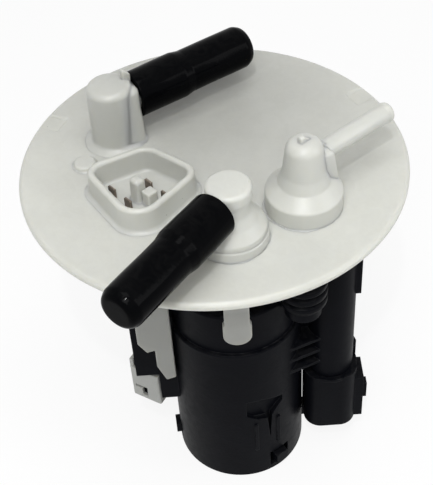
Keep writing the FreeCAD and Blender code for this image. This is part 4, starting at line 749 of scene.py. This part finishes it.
# ---------------------------------------------------------------------------
# Canister, its bottom lid and the side bracket. Black glass-filled nylon with a satin skin:
# grey scuffs along the edges and pale dust on what faces up.

black_nylon = moulded("black_nylon", (0.0030, 0.0033, 0.0048), (0.030, 0.031, 0.034),
                      clouds=(70.0, 0.7), grain=1300.0, edges=(0.4, 0.7), gloss=(0.40, 0.22),
                      dust=0.012, relief=0.35,
                      shader_values={"Specular IOR Level": 0.03})
dress(black_nylon, "canister", "canister_lid", "regulator_retainer", "side_plug")


# ---------------------------------------------------------------------------
# Filter element in the canister: resin-treated paper in pleats between two glued end caps,
# round a perforated core, sealed by a ring at its neck.

inner_nylon = moulded("inner_nylon", (0.035, 0.036, 0.037), (0.10, 0.10, 0.10),
                      clouds=(60.0, 0.3), grain=1100.0, edges=(0.4, 0.4), gloss=(0.5, 0.2))
paper = moulded("resin_paper", (0.52, 0.40, 0.20), (0.62, 0.52, 0.33),
                clouds=(500.0, 0.35), grain=1600.0, edges=(0.4, 0.5), gloss=(0.8, 0.1),
                specks=0.4, relief=0.6)
seal_rubber = moulded("seal_rubber", (0.012, 0.012, 0.012), (0.05, 0.05, 0.05),
                      clouds=(200.0, 0.4), grain=1800.0, edges=(0.3, 0.4), gloss=(0.55, 0.15), dust=0.02)
dress(inner_nylon, "element_cap_upper", "element_cap_lower", "core_tube")
dress(paper, "filter_media")
dress(seal_rubber, "element_ring")


# ---------------------------------------------------------------------------
# Corrugated hose between the flange's stub and the canister's shoulder: blow-moulded nylon
# with five rounded ribs, rubbed grey on their crests.

hose_nylon = moulded("hose_nylon", (0.0030, 0.0033, 0.0046), (0.040, 0.041, 0.044),
                     clouds=(90.0, 0.5), grain=1500.0, edges=(0.6, 0.8), gloss=(0.34, 0.2), dust=0.02,
                     shader_values={"Specular IOR Level": 0.03})


def ribbed_line(low, high, ribs, valley, crest, wall, mouth=4.0):
    """Valleys and crests in turn, up the outside and back down the inside one wall in."""
    pitch = (high - low - 2 * wall) / ribs
    outside = []
    for rib in range(ribs):
        foot = low + wall + pitch * rib
        outside += [(valley, foot + pitch * 0.04, 0.35), (valley, foot + pitch * 0.18, 0.35),
                    (crest, foot + pitch * 0.36, 0.5), (crest, foot + pitch * 0.86, 0.5)]
    inside = [(across - wall, up, 0.3) for across, up, rounding in outside]
    return softened([(mouth, low, 0), (valley, low, 0.2), *outside[1:], (valley, high - wall, 0.2),
                     (valley, high, 0.1), (mouth, high, 0.1), (mouth, high - wall, 0.1), *inside[::-1],
                     (mouth, low + wall, 0.1), (mouth, low, 0)], steps=5)


hose_line = ribbed_line(HOSE_FOOT, HOSE_TOP, 5, 5.9, 7.2, 0.8)
skin("ribbed_hose", [stood(turned(hose_line, 112), *HOSE)], hose_nylon,
     instead_of=["corrugated_hose"])


# ---------------------------------------------------------------------------
# Pressure regulator: a drawn and plated bonnet and base, crimped over a rubber diaphragm,
# with a plain valve, its spring and a ring seal.

plated_steel = moulded("plated_steel", (0.48, 0.48, 0.46), (0.70, 0.70, 0.68),
                       clouds=(150.0, 0.3), grain=2200.0, edges=(0.3, 0.6), gloss=(0.30, 0.3),
                       specks=0.5,
                       shader_values={"Metallic": 1.0})
dress(plated_steel, "regulator_bonnet", "regulator_base", "regulator_valve", "regulator_spring")
dress(seal_rubber, "regulator_diaphragm", "regulator_seal")


# ---------------------------------------------------------------------------
# Plug cover: a grey-white nylon sleeve pushed on the side plug from below, with an ear that
# stands up beside the plug and a window for its latch.

cover_nylon = moulded("cover_nylon", (0.36, 0.365, 0.345), (0.66, 0.66, 0.62),
                      clouds=(70.0, 0.14), grain=900.0, edges=(0.7, 0.5), gloss=(0.40, 0.2),
                      specks=0.6, dust=0.10,
                      shader_values={"Subsurface Weight": 0.25, "Subsurface Radius": (1.0, 0.95, 0.8),
                                     "Subsurface Scale": 0.0016})
dress(cover_nylon, "plug_cover")
